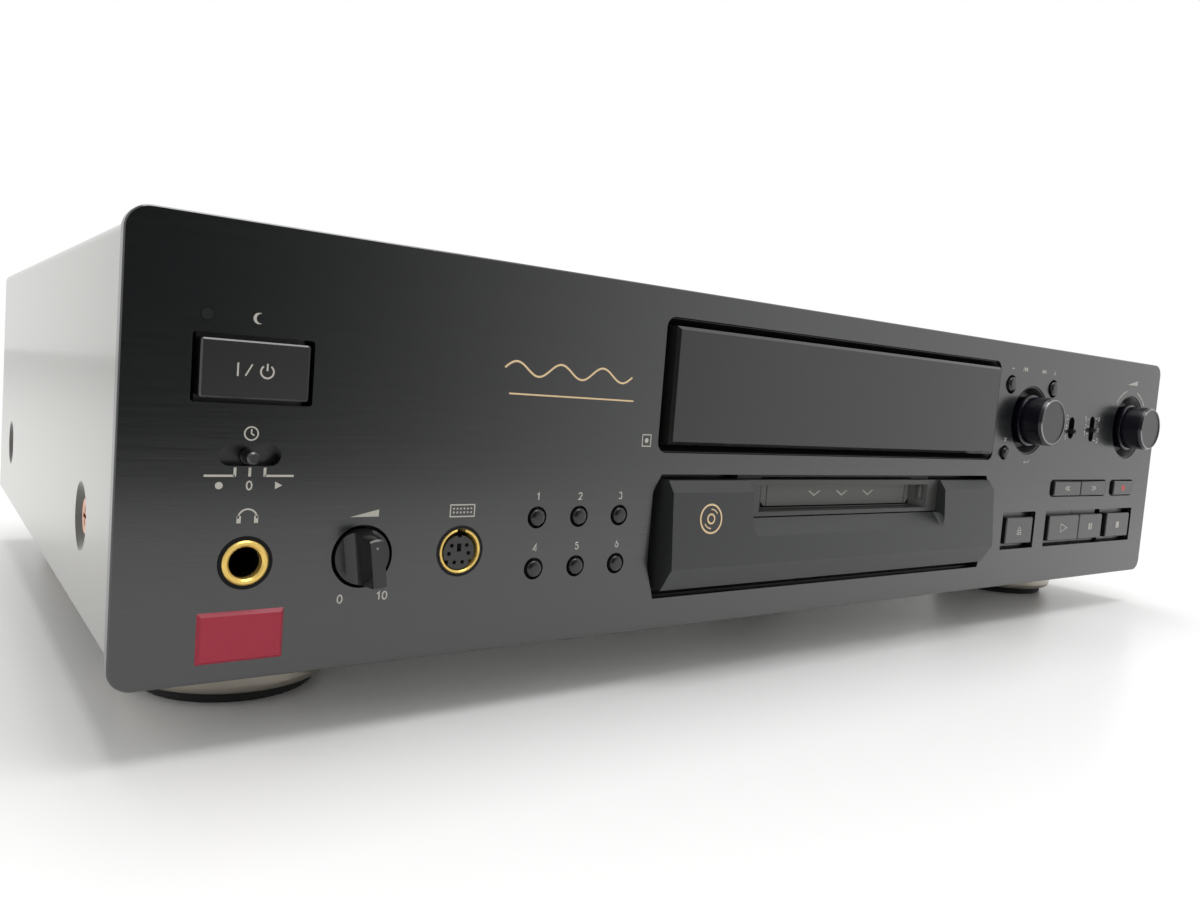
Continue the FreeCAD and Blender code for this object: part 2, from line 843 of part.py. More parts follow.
# Slide switches: place of the slot, its size, how far below its middle the pin rests.
# Slide switches: place, slot's length and width, whether it stands upright, how far the lever sits
# below the slot's middle and its pin's radius.
SWITCHES = {
    "timer_slider": (size.column_x, size.timer_up, size.timer_slot_long, size.timer_slot_tall,
                     False, size.timer_pin_drop, size.timer_pin),
    "mode_slider": (size.mode_x, size.mode_up, size.mode_slot_tall, size.mode_slot_wide,
                    True, size.mode_pin_drop, size.side_pin),
    "input_slider": (size.input_x, size.input_up, size.input_slot_tall, size.input_slot_wide,
                     True, size.input_pin_drop, size.side_pin),
}


def make_front_panel():
    """The thick aluminium plate, with all its openings."""
    body = new_body("FrontPanel")
    outline = front_drawing(body, face)
    outline.round_rectangle(ZERO, up(size.panel_height / 2), size.panel_width, size.panel_height,
                            size.panel_corner)
    plate = pad(body, outline, size.panel_thick, reverse=True)
    bevel_front(body, plate, face, size.panel_bevel)

    bays = front_drawing(body, face)
    bays.round_rectangle(bay_x, up(size.window_up), window_hole_wide,
                         size.window_hole_tall, size.window_hole_corner)
    left = bay_x - slot_hole_wide / 2
    right = bay_x + slot_hole_wide / 2
    low, high = up(size.slot_hole_low), up(size.slot_hole_high)
    bays.polygon([
        (left + size.slot_hole_low_in, low), (right - size.slot_hole_low_in, low),
        (right, low + size.slot_hole_low_rise), (right, high - size.slot_hole_top_drop),
        (right - size.slot_hole_top_in, high), (left + size.slot_hole_top_in, high),
        (left, high - size.slot_hole_top_drop), (left, low + size.slot_hole_low_rise),
    ])
    pocket(body, bays)

    keyholes = front_drawing(body, face)
    transport_tall = size.transport_hole_tall - size.sill_rise
    transport_up = size.transport_up + size.sill_rise / 2
    sills = ((size.eject_x, size.eject_hole_wide), (size.play_hole_x, size.play_hole_wide))
    for x, z, wide, tall, corner in (
        (size.column_x, size.power_up, size.power_hole_wide, size.power_hole_tall,
         size.hole_corner),
        (size.skip_x, size.skip_up, size.skip_hole_wide, size.skip_hole_tall,
         size.skip_hole_corner),
        (size.record_x, size.skip_up, size.record_hole_wide, size.skip_hole_tall,
         size.skip_hole_corner),
        *((x, transport_up, wide, transport_tall, size.hole_corner) for x, wide in sills),
    ):
        keyholes.round_rectangle(x, up(z), wide, tall, corner)
    pocket(body, keyholes)
    low = up(size.transport_up) - size.transport_hole_tall / 2
    slopes = [
        taper(x, face, low + size.sill_rise, wide, size.sill_rise * 2, wide, size.hole_corner * 2,
              size.panel_thick)
        for x, wide in sills
    ]

    slots = front_drawing(body, face)
    for x, z, long, wide, upright, *_ in SWITCHES.values():
        slots.stadium(x, up(z), long, wide, upright)
    pocket(body, slots)

    rounds = front_drawing(body, face)
    for x, z, _, hole, _ in ROUND_BUTTONS.values():
        rounds.circle(x, up(z), hole)
    for x, z, radius in (
        (size.lamp_x, size.lamp_up, size.lamp_radius + size.hole_gap),
        (size.column_x, size.jack_up, size.jack_collar + size.hole_gap),
        (size.keyboard_x, size.keyboard_up, size.keyboard_collar + size.hole_gap),
        (size.dial_x, size.dial_up, size.dial_hole),
        (size.jog_x, size.knob_up, size.jog_hole),
        (size.level_x, size.knob_up, size.level_hole),
    ):
        rounds.circle(x, up(z), radius)
    pocket(body, rounds)
    node("front_panel", cut(body, *slopes))


def make_front_frame():
    """The plastic moulding that carries the plate, the window, the bezel and the buttons."""
    wide = (cover_inside - size.free_gap) * 2
    low = chassis_top + size.seat_gap
    tall = case_top - size.free_gap - low
    centre_up = low + tall / 2
    tray = new_body("Tray")
    outline = front_drawing(tray, plate_back)
    outline.round_rectangle(ZERO, centre_up, wide, tall, size.frame_corner)
    pad(tray, outline, size.frame_gap + size.frame_wall, reverse=True)
    hollow = front_drawing(tray, plate_back)
    hollow.rectangle(ZERO, centre_up, wide - size.frame_rim * 2, tall - size.frame_rim * 2)
    pocket(tray, hollow, size.frame_gap * 2)

    front = face + size.surround_set
    surround_wide = window_hole_wide - size.seat_gap * 2
    surround_tall = size.window_hole_tall - size.seat_gap * 2
    seat_wide = window_wide + size.free_gap * 2
    seat_tall = size.window_tall + size.free_gap * 2
    middle = up(size.window_up)
    surround_body = new_body("Surround")
    outline = front_drawing(surround_body, front)
    outline.round_rectangle(bay_x, middle, surround_wide, surround_tall,
                            size.window_hole_corner - size.seat_gap)
    pad(surround_body, outline, frame_front - front, reverse=True)
    surround = cut(
        surround_body,
        taper(bay_x, front, middle, surround_wide - size.seat_gap * 2,
              surround_tall - size.seat_gap * 2, seat_wide, seat_tall, size.surround_slope),
        block(bay_x, front + size.surround_slope, middle, seat_wide,
              size.window_seat - size.surround_set - size.surround_slope, seat_tall, centre="xz"),
    )

    wells = []
    for x, hole in ((size.jog_x, size.jog_hole), (size.level_x, size.level_hole)):
        outer = hole - size.hole_gap
        floor = size.well_deep
        wells.append(turned("Well", x, face, up(size.knob_up), [
            (size.shaft_hole, floor), (size.well_floor, floor),
            (outer - size.well_wall, size.free_gap), (outer, size.free_gap),
            (outer, size.panel_thick + size.frame_gap),
            (size.shaft_hole, size.panel_thick + size.frame_gap),
        ]))

    openings = [block(bay_x, face, middle, window_light_wide, size.board_front,
                      size.window_light_tall, centre="xz")]
    gate_low = size.shutter_low_up - size.shutter_gap
    gate_high = size.shutter_axis_up + size.shutter_pin + size.shutter_gap
    openings.append(block(bay_x, plate_back, up(gate_low),
                          size.shutter_wide + size.shutter_gap * 2, size.board_front,
                          gate_high - gate_low, centre="x"))
    for x, z in STEM_PLACES:
        openings.append(rod(x, plate_back, up(z), size.stem_radius + size.free_gap,
                            size.board_front))
    for x, z, radius in (
        (size.column_x, size.jack_up, size.jack_collar + size.hole_gap),
        (size.keyboard_x, size.keyboard_up, size.keyboard_collar + size.hole_gap),
        (size.dial_x, size.dial_up, size.shaft_hole),
        (size.jog_x, size.knob_up, size.shaft_hole),
        (size.level_x, size.knob_up, size.shaft_hole),
    ):
        openings.append(rod(x, plate_back, up(z), radius, size.board_front))
    for x, z, long, wide, upright, _, pin in SWITCHES.values():
        reach = pin * 2 + size.free_gap * 4
        across = reach if upright else long
        along = long if upright else reach
        openings.append(block(x, plate_back, up(z), across, size.board_front, along,
                              centre="xz"))
    whole = fuse(tray, surround, *wells)
    node("front_frame", cut(whole, *openings))


def make_window():
    """The smoked window of the display, which stands a little proud of the plate."""
    body = new_body("DisplayWindow")
    front = face - size.window_proud
    outline = front_drawing(body, front)
    outline.rectangle(bay_x, up(size.window_up), window_wide, size.window_tall)
    slab = pad(body, outline, size.window_proud + size.window_seat, reverse=True)
    bevel_front(body, slab, front, size.window_bevel)
    node("display_window", body)


def make_bezel():
    """The slot bezel, one long moulding with a folded front and a notch round the disc slot."""
    body = new_body("SlotBezel")
    side = Drawing(body, "YZ_Plane")
    rear = frame_front
    side.polygon([
        (rear, up(size.bezel_low_up)), (rear, up(size.bezel_top_up)),
        (face - size.bezel_top_proud, up(size.bezel_top_up)),
        (face - size.bezel_brow_proud, up(size.bezel_brow_up)),
        (face - size.bezel_chin_proud, up(size.bezel_chin_up)),
        (face - size.bezel_top_proud, up(size.bezel_low_up)),
    ])
    pad(body, side, bezel_wide, both_ways=True)
    notch = Drawing(body, "YZ_Plane")
    lift = size.bezel_top_proud
    notch.polygon([
        (face - size.bezel_chin_proud, up(size.notch_front_up)),
        (face - size.mouth_proud, up(size.notch_back_up)),
        (rear, up(size.notch_back_up)), (rear, up(size.bezel_top_up) + lift),
        (face - size.bezel_chin_proud, up(size.bezel_top_up) + lift),
    ])
    cut_out = pocket(body, notch, size.notch_wide)
    side_x = size.notch_wide.number / 2
    floor_low, floor_high = up(size.notch_front_up).number, up(size.notch_back_up).number

    def in_floor_corner(box):
        upright = abs(abs(box.Center.x) - side_x) < TINY and box.XLength < TINY
        return upright and box.YLength > 1 and floor_low < box.Center.z < floor_high - TINY

    soften(body, "Fillet", cut_out, size.notch_corner, in_floor_corner)
    tie(body, "Placement.Base.x", bay_x)
    node("slot_bezel", body)


def make_mouth():
    """The mouth of the slot: a funnel that leads a cartridge to the shutter."""
    front = face - size.mouth_proud
    wide = size.notch_wide - size.seat_gap
    low = up(size.notch_back_up) + size.mouth_gap
    shutter_front = face + size.shutter_face - size.seat_gap / 2
    lips = block(bay_x, front, low, wide, shutter_front - front,
                 up(size.bezel_top_up) - low, centre="x")
    hood = block(bay_x, shutter_front, low, wide, frame_front - shutter_front,
                 up(size.mouth_hood_up) - low, centre="x")
    mouth_middle = (up(size.mouth_low_up) + up(size.mouth_high_up)) / 2
    mouth_tall = size.mouth_high_up - size.mouth_low_up
    gate_wide = size.shutter_wide + size.shutter_gap * 2
    gate_low = up(size.shutter_low_up) - size.shutter_gap
    gate_high = up(size.shutter_axis_up) + size.shutter_pin + size.shutter_gap
    gate_tall = up(size.shutter_axis_up) - size.shutter_pin - gate_low
    funnel = taper(bay_x, front, mouth_middle, size.mouth_wide, mouth_tall,
                   gate_wide - size.shutter_gap * 2, gate_tall, shutter_front - front)
    chamber = block(bay_x, shutter_front, gate_low, gate_wide, frame_front - shutter_front,
                    gate_high - gate_low, centre="x")
    pin_run = gate_wide + size.shutter_pin_long * 2 + size.seat_gap
    pin_bore = rod(bay_x - pin_run / 2, face + size.shutter_face + size.shutter_pin,
                   up(size.shutter_axis_up), size.shutter_pin + size.running_gap, pin_run, RIGHT)
    recess_left = bay_x + size.mouth_wide / 2 - size.recess_wide
    recess = block(recess_left, front + size.mouth_proud, up(size.recess_up), size.recess_wide,
                   size.recess_deep, size.recess_tall, centre="z")
    opened = cut(fuse(lips, hood), fuse(funnel, chamber, pin_bore, recess))
    node("slot_mouth", opened)


def make_shutter():
    """The flap that closes the slot, hung on two pins at its upper edge."""
    body = new_body("Shutter")
    front = face + size.shutter_face
    outline = front_drawing(body, front)
    half = size.shutter_wide / 2
    low, high, clip = up(size.shutter_low_up), up(size.shutter_axis_up), size.shutter_clip
    outline.polygon([
        (bay_x - half + clip, low), (bay_x + half - clip, low),
        (bay_x + half, low + clip), (bay_x + half, high),
        (bay_x - half, high), (bay_x - half, low + clip),
    ])
    pad(body, outline, size.shutter_thick, reverse=True)
    grooves = [
        block(bay_x + way * (half - size.shutter_groove_in), front, low,
              size.shutter_groove, size.shutter_groove, high - low, centre="x")
        for way in (-1, 1)
    ]
    run = size.shutter_wide + (size.shutter_gap + size.shutter_pin_long) * 2
    pin = rod(bay_x - run / 2, front + size.shutter_pin, high, size.shutter_pin, run, RIGHT)
    node("slot_shutter", cut(fuse(body, pin), *grooves))


def make_lamp_and_badge():
    """The standby lamp's lens and the blank raised badge under the headphone jack."""
    long = frame_front - face + size.hole_gap
    node("standby_lens", rod(size.lamp_x, face - size.hole_gap, up(size.lamp_up),
                             size.lamp_radius, long))
    inner_wide = size.badge_wide - size.badge_bevel * 2
    inner_tall = size.badge_tall - size.badge_bevel * 2
    node("badge_plate", taper(size.badge_x, face - size.badge_thick, up(size.badge_up),
                              inner_wide, inner_tall, size.badge_wide, size.badge_tall,
                              size.badge_thick))


def make_headphone_jack():
    """The headphone jack: a black collar with a deep bore, behind a gold bush."""
    middle = up(size.jack_up)
    end = size.jack_body_end
    behind = frame_back - face
    collar = turned("JackCollar", size.column_x, face, middle, [
        (size.jack_bore, size.bush_deep - size.bush_proud),
        (size.bush_radius + size.running_gap, size.bush_deep - size.bush_proud),
        (size.bush_radius + size.running_gap, -size.seat_gap),
        (size.jack_collar, -size.seat_gap), (size.jack_collar, behind), (size.jack_bore, behind),
    ])
    body = block(size.column_x, frame_back, middle, size.jack_body, face + end - frame_back,
                 size.jack_body, centre="xz")
    bore = rod(size.column_x, face, middle, size.jack_bore, size.jack_bore_deep)
    node("headphone_jack", fuse(collar, cut(body, bore)))


def make_keyboard_socket():
    """The round keyboard socket: an insert with six pin holes, a key slot and three notches."""
    middle = up(size.keyboard_up)
    board = size.board_front
    collar = turned("Socket", size.keyboard_x, face, middle, [
        (ZERO, size.shield_deep), (size.shield_outer + size.running_gap, size.shield_deep),
        (size.shield_outer + size.running_gap, -size.seat_gap),
        (size.keyboard_collar, -size.seat_gap), (size.keyboard_collar, board), (ZERO, board),
    ])
    front = face + size.insert_set
    centre = middle - size.insert_drop
    insert = rod(size.keyboard_x, front, centre, size.insert_radius,
                 size.board_front - size.insert_set)
    holes = []
    for degrees in PIN_ANGLES:
        angle = math.radians(degrees)
        holes.append(rod(size.keyboard_x + size.pin_ring * math.cos(angle), front,
                         centre + size.pin_ring * math.sin(angle), size.pin_hole,
                         size.pin_hole_deep))
    holes.append(block(size.keyboard_x, front, centre + size.key_slot_lift, size.key_slot_wide,
                       size.pin_hole_deep, size.key_slot_tall, centre="xz"))
    notch = size.insert_notch
    for x, z in ((ZERO, size.insert_radius), (-size.insert_notch_out, -size.insert_notch_drop),
                 (size.insert_notch_out, -size.insert_notch_drop)):
        holes.append(block(size.keyboard_x + x, front, centre + z, notch, size.pin_hole_deep,
                           notch, centre="xz"))
    node("keyboard_socket", cut(fuse(collar, insert), *holes))


def make_socket_rings():
    """The gold bush of the headphone jack and the gold shield of the keyboard socket."""
    round_edge = size.bush_round
    bush = turned("Bush", size.column_x, face, up(size.jack_up), [
        (size.bush_bore, round_edge - size.bush_proud),
        (size.bush_bore + round_edge, -size.bush_proud),
        (size.bush_radius - round_edge, -size.bush_proud),
        (size.bush_radius, round_edge - size.bush_proud),
        (size.bush_radius, size.bush_deep - size.bush_proud),
        (size.bush_bore, size.bush_deep - size.bush_proud),
    ])
    edge = size.shield_edge
    shield = turned("Shield", size.keyboard_x, face, up(size.keyboard_up), [
        (size.shield_inner, edge - size.seat_gap), (size.shield_inner + edge, -size.seat_gap),
        (size.shield_outer - edge, -size.seat_gap), (size.shield_outer, edge - size.seat_gap),
        (size.shield_outer, size.shield_deep), (size.shield_inner, size.shield_deep),
    ])
    split = block(size.keyboard_x, face - size.seat_gap, up(size.keyboard_up), size.shield_split,
                  size.shield_deep, size.shield_outer, centre="x")
    node("socket_rings", group((bush, cut(shield, split)), "SocketRings"))


def dimple_places():
    """Each side screw: its side of the deck (-1 left, 1 right) and its distance behind the face."""
    return [(way, face + y) for way in (-1, 1) for y in (size.dimple_front, size.dimple_rear)]


def rear_screw_places():
    return [size.rear_screw_x * step for step in (-1, 0, 1)]


def make_cover():
    """The folded steel cover, with a pressed dimple round each side screw."""
    body = new_body("Cover")
    low, high, inner_high = chassis_top, up(size.cover_high), case_top
    section = front_drawing(body, plate_back)
    section.polygon([
        (-cover_half, low), (-cover_half, high), (cover_half, high), (cover_half, low),
        (cover_inside, low), (cover_inside, inner_high), (-cover_inside, inner_high),
        (-cover_inside, low),
    ])
    shell = pad(body, section, back - plate_back, reverse=True)
    long = (back - plate_back).number
    top = high.number

    def is_outer_bend(box):
        return box.YLength > long - TINY and box.ZMin > top - TINY

    bent = soften(body, "Fillet", shell, size.cover_bend, is_outer_bend)
    inner_top = inner_high.number

    def is_inner_bend(box):
        return box.YLength > long - TINY and abs(box.ZMin - inner_top) < TINY

    soften(body, "Fillet", bent, size.cover_bend - size.sheet_thick, is_inner_bend)
    lip_wide = (cover_half - size.lip_inset) * 2
    lip = block(ZERO, back, high - size.lip_tall, lip_wide, size.sheet_thick,
                size.lip_tall - size.cover_bend, centre="x")
    tab = block(ZERO, back - size.sheet_thick, inner_high, lip_wide, size.sheet_thick * 2,
                size.sheet_thick, centre="x")
    bosses, recesses = [], []
    for way, y in dimple_places():
        inward = LEFT if way > 0 else RIGHT
        x = way * cover_half
        z = up(size.dimple_up)
        bosses.append(cone(x, y, z, size.dimple_radius + size.sheet_thick,
                           size.dimple_floor + size.sheet_thick,
                           size.dimple_depth + size.sheet_thick, inward))
        dish = cone(x, y, z, size.dimple_radius, size.dimple_floor, size.dimple_depth, inward)
        hole = rod(x, y, z, size.screw_shank + size.running_gap, size.screw_length * 2, inward)
        recesses.append(fuse(dish, hole))
    for x in rear_screw_places():
        recesses.append(rod(x, back - size.sheet_thick, rear_screw_height(),
                            size.screw_shank + size.running_gap, size.sheet_thick * 3))
    lip_root = block(ZERO, back, high - size.cover_bend, lip_wide, size.sheet_thick,
                     size.cover_bend - size.sheet_thick, centre="x")
    node("top_cover", cut(fuse(body, lip, lip_root, tab, *bosses), *recesses))


def rear_screw_height():
    return up(size.cover_high) - size.lip_tall + size.screw_head + size.screw_cross


def make_screw(x, y, z, turn, outward):
    """A cross head screw. The turn points from its head's face towards its tip."""
    head = rod(x, y, z, size.screw_head, size.screw_head_thick, turn)
    shank = rod(x, y, z, size.screw_shank, size.screw_head_thick + size.screw_length, turn)
    cross = []
    span, width = size.screw_cross_span, size.screw_cross
    depth = size.screw_cross_depth * 2
    for first, second in ((span, width), (width, span)):
        if outward == "x":
            cross.append(block(x, y, z, depth, first, second, centre="xyz"))
        else:
            cross.append(block(x, y, z, first, depth, second, centre="xyz"))
    return cut(fuse(head, shank), fuse(*cross))


def make_screws():
    """The copper coloured screws of the cover: two in each side and three at the rear."""
    screws = []
    for way, y in dimple_places():
        floor = cover_half - size.dimple_depth
        x = way * (floor + size.screw_head_thick)
        screws.append(make_screw(x, y, up(size.dimple_up), LEFT if way > 0 else RIGHT, "x"))
    for x in rear_screw_places():
        head_face = back + size.sheet_thick + size.screw_head_thick
        screws.append(make_screw(x, head_face, rear_screw_height(), FRONT, "y"))
    node("cover_screws", group(screws, "CoverScrews"))


def main_board_ends():
    """The main board's left and right edges, between the disc mechanism and the chassis wall."""
    left = bay_x + size.mech_half + size.main_board_gap
    right = size.panel_width / 2 - size.main_board_end_gap
    return left, right


def standoff_places():
    left, right = main_board_ends()
    inset = size.standoff_inset
    half_deep = size.main_board_deep / 2 - inset
    return [(x, face + size.main_board_y + way * half_deep)
            for x in (left + inset, right - inset) for way in (-1, 1)]


def make_chassis():
    """The steel tray: its floor, two side walls, board standoffs and a row of vents."""
    body = new_body("Chassis")
    half = cover_half - size.chassis_inset
    floor = Drawing(body, "XY_Plane", chassis_low)
    floor.rectangle(ZERO, (plate_back + back - size.sheet_thick) / 2, half * 2,
                    back - size.sheet_thick - plate_back)
    pad(body, floor, size.sheet_thick)
    walls = Drawing(body, "XY_Plane", chassis_low)
    start = face + size.chassis_wall_start
    for way in (-1, 1):
        walls.rectangle(way * (chassis_side - size.sheet_thick / 2),
                        (start + back - size.sheet_thick) / 2, size.sheet_thick,
                        back - size.sheet_thick - start)
    pad(body, walls, size.chassis_wall_up - size.cover_low + size.sheet_thick)
    posts = Drawing(body, "XY_Plane", chassis_low)
    for x, y in standoff_places():
        posts.circle(x, y, size.standoff_radius)
    pad(body, posts, size.standoff_tall + size.sheet_thick)
    slot = Drawing(body, "XY_Plane", chassis_low)
    slot.stadium(ZERO, face + size.vent_start, size.vent_long, size.vent_wide)
    vent = pocket(body, slot, size.standoff_tall)
    row = body.newObject("PartDesign::LinearPattern", "VentRow")
    row.Originals = [vent]
    row.Direction = (slot.sketch, ["V_Axis"])
    tie(row, "Length", size.vent_pitch * (size.vent_count - 1))
    tie(row, "Occurrences", size.vent_count)
    body.Tip = row
    holes = [rod(way * cover_half, y, up(size.dimple_up), size.screw_shank + size.running_gap,
                 size.screw_length * 2, LEFT if way > 0 else RIGHT)
             for way, y in dimple_places()]
    node("bottom_chassis", cut(body, *holes))


def line_places():
    return [(size.line_x - size.line_pitch * column, size.line_up - size.line_pitch * row)
            for column in (0, 1) for row in (0, 1)]


def optical_places():
    return [(size.optical_x - size.optical_pitch * column, size.optical_up) for column in range(3)]


def make_rear_panel():
    """The rear panel, with holes for its sockets."""
    body = new_body("RearPanel")
    depth = back - size.sheet_thick
    low = chassis_low
    high = case_top - size.free_gap
    plate = front_drawing(body, depth)
    plate.round_rectangle(ZERO, (chassis_top + high) / 2, (cover_inside - size.free_gap) * 2,
                          high - chassis_top, size.frame_corner)
    pad(body, plate, size.sheet_thick, reverse=True)
    foot = front_drawing(body, depth)
    foot.rectangle(ZERO, (low + chassis_top) / 2 + size.sheet_thick / 2,
                   (cover_half - size.chassis_inset) * 2 - size.dimple_radius,
                   chassis_top - low + size.sheet_thick)
    pad(body, foot, size.sheet_thick, reverse=True)
    holes = front_drawing(body, depth)
    for x, z in line_places():
        holes.circle(x, up(z), size.line_radius + size.hole_gap)
    for x, z in optical_places():
        square = size.optical_body + size.hole_gap * 2
        holes.rectangle(x, up(z), square, square)
    holes.rectangle(size.inlet_x, up(size.inlet_up), size.inlet_wide + size.hole_gap * 2,
                    size.inlet_tall + size.hole_gap * 2)
    for x in rear_screw_places():
        holes.circle(x, rear_screw_height(), size.screw_shank + size.running_gap)
    pocket(body, holes)
    node("rear_panel", body)


def make_feet():
    """Four turned feet, round at the lower edge, each with a rubber pad in its underside."""
    feet, pads = [], []
    bottom = size.pad_tall - size.pad_seat
    top = size.foot_height - size.foot_top_gap
    bevel = size.foot_bevel
    recess = size.pad_radius + size.pad_gap
    edge_low, edge_wide = bottom.number + TINY, size.foot_radius.number * 2 - TINY

    def is_lower_edge(box):
        return box.ZMax < edge_low and box.XLength > edge_wide

    for x in (-size.foot_x, size.foot_x):
        for y in (size.foot_front, size.foot_rear):
            foot = turned("Foot", x, face + y, ground, [
                (ZERO, size.pad_tall), (recess, size.pad_tall), (recess, bottom),
                (size.foot_radius, bottom), (size.foot_radius, top - bevel),
                (size.foot_radius - bevel, top), (size.foot_neck, top),
                (size.foot_neck, chassis_low), (ZERO, chassis_low),
            ], along="Z")
            soften(foot, "Fillet", foot.Tip, size.foot_round, is_lower_edge)
            feet.append(foot)
            pads.append(turned("Pad", x, face + y, ground, [
                (ZERO, ZERO), (size.pad_radius - bevel, ZERO), (size.pad_radius, bevel),
                (size.pad_radius, size.pad_tall), (ZERO, size.pad_tall),
            ], along="Z"))
    node("feet", group(feet, "Feet"))
    node("foot_pads", group(pads, "FootPads"))


def make_round_button(name, x, z, radius, hole, proud):
    """A round push button: a domed cap, a flange behind the plate and a stem to its switch."""
    flange = size.panel_thick + size.button_flange
    bevel = size.button_bevel
    node(name, turned(name.title().replace("_", ""), x, face, up(z), [
        (ZERO, -proud), (radius - bevel * 2, -proud), (radius - bevel / 2, bevel / 2 - proud),
        (radius, bevel * 2 - proud), (radius, size.panel_thick),
        (hole + size.free_gap * 2, size.panel_thick), (hole + size.free_gap * 2, flange),
        (size.stem_radius, flange), (size.stem_radius, size.stem_end), (ZERO, size.stem_end),
    ]))


def make_key(name, x, z, wide, tall, proud, hole_tall):
    """A rectangular key: a cap with softened edges, a flange behind the plate and a stem."""
    body = new_body(name.title().replace("_", ""))
    front = face - proud
    cap = front_drawing(body, front)
    cap.round_rectangle(x, up(z), wide, tall, size.cap_corner)
    block_feature = pad(body, cap, proud + size.panel_thick, reverse=True)
    bevel_front(body, block_feature, front, size.button_bevel)
    flange = front_drawing(body, plate_back)
    flange.rectangle(x, up(z), wide, hole_tall + size.flange_lap * 2)
    pad(body, flange, size.button_flange, reverse=True)
    stem = front_drawing(body, plate_back)
    stem.circle(x, up(z), size.stem_radius)
    pad(body, stem, size.stem_end - size.panel_thick, reverse=True)
    node(name, body)


def make_slider(name, x, z, long, wide, upright, drop, radius):
    """A slide switch's lever: a stepped pin through the slot, on a carriage behind the plate."""
    bevel = size.switch_pin_bevel
    tip, step = -size.switch_pin_proud, size.panel_thick - size.switch_collar_long
    pin = turned("Pin", x, face, up(z - drop), [
        (ZERO, tip), (radius - bevel, tip), (radius, bevel + tip), (radius, step),
        (size.switch_collar, step), (size.switch_collar, size.panel_thick),
        (radius, size.panel_thick), (radius, size.stem_end), (ZERO, size.stem_end),
    ])
    cover = size.switch_travel * 2 + long + size.carriage_lap * 2
    across = wide + size.carriage_lap * 2
    first, second = (across, cover) if upright else (cover, across)
    carriage = block(x, plate_back, up(z - drop), first, size.carriage_thick, second,
                     centre="xz")
    node(name, fuse(pin, carriage))


def make_dial():
    """The headphone level control: a tapered knob scooped to a blade, on a shaft."""
    front, rim = -size.dial_blade_proud, -size.dial_set
    bevel, scoop, half = size.button_bevel, size.dial_scoop, size.dial_blade_wide / 2
    knob = turned("Dial", ZERO, ZERO, ZERO, [
        (ZERO, front), (size.dial_blade_round - bevel, front),
        (size.dial_blade_round, bevel + front), (size.dial_radius, rim),
        (size.dial_radius, size.dial_back), (size.shaft_radius, size.dial_back),
        (size.shaft_radius, size.shaft_end), (ZERO, size.shaft_end),
    ])
    tall = size.dial_radius * 2
    waste = []
    for way in (-1, 1):
        waste.append(rod(way * (half + scoop), rim - scoop, -size.dial_radius, scoop, tall, UP))
        waste.append(block(way * (half + scoop), front, ZERO, scoop * 2, rim - scoop - front, tall,
                           centre="xz"))
        waste.append(block(way * (half + scoop * 2), front, ZERO, scoop * 2, rim - front, tall,
                           centre="xz"))
    turn = FreeCAD.Rotation(FreeCAD.Vector(0, 1, 0), -DIAL_TURN)
    node("phones_knob", place(cut(knob, *waste), size.dial_x, face, up(size.dial_up), turn))


def knob_outline(centre, rear):
    """The outline of a barrel knob's front: dished face, bright land, bevel, barrel and skirt."""
    reach, radius, skirt = size.knob_reach, size.knob_radius, size.knob_skirt
    land = radius - size.knob_bevel
    edge = size.knob_skirt_thick / 2
    return [
        centre, (land - size.knob_land - size.knob_dish, size.knob_dish - reach),
        (land - size.knob_land, -reach), (land, -reach), (radius, size.knob_bevel_long - reach),
        (radius, -edge), (skirt, -edge), (skirt, edge), (radius, edge), (radius, rear),
    ]


def make_knobs():
    """The record level knob, and the jog knob that also pushes in along its rotor."""
    middle = up(size.knob_up)
    dish = (ZERO, size.knob_dish - size.knob_reach)
    node("record_level_knob", turned("LevelKnob", size.level_x, face, middle,
                                     knob_outline(dish, size.knob_back) + [
        (size.shaft_radius, size.knob_back), (size.shaft_radius, size.shaft_end),
        (ZERO, size.shaft_end),
    ]))
    bore = size.shaft_radius + size.running_gap
    bore_end = -(size.rotor_front + size.rotor_room)
    node("jog_knob", turned("JogKnob", size.jog_x, face, middle,
                            knob_outline(dish, size.knob_back) + [
        (bore, size.knob_back), (bore, bore_end), (ZERO, bore_end),
    ]))
    node("jog_rotor", rod(size.jog_x, face - size.rotor_front, middle, size.shaft_radius,
                          size.rotor_front + size.shaft_end))


def make_controls():
    """The bodies of the two level controls and of the jog encoder, each with a bush."""
    pots = []
    for x, z in ((size.dial_x, size.dial_up), (size.jog_x, size.knob_up),
                 (size.level_x, size.knob_up)):
        body = block(x, frame_back, up(z), size.pot_body, board_front - frame_back,
                     size.pot_body, centre="xz")
        bush = rod(x, frame_front, up(z), size.bush_outer, size.frame_wall)
        bore = rod(x, frame_front, up(z), size.shaft_radius + size.running_gap, size.board_front)
        pots.append(cut(fuse(body, bush), bore))
    node("control_pots", group(pots, "ControlPots"))


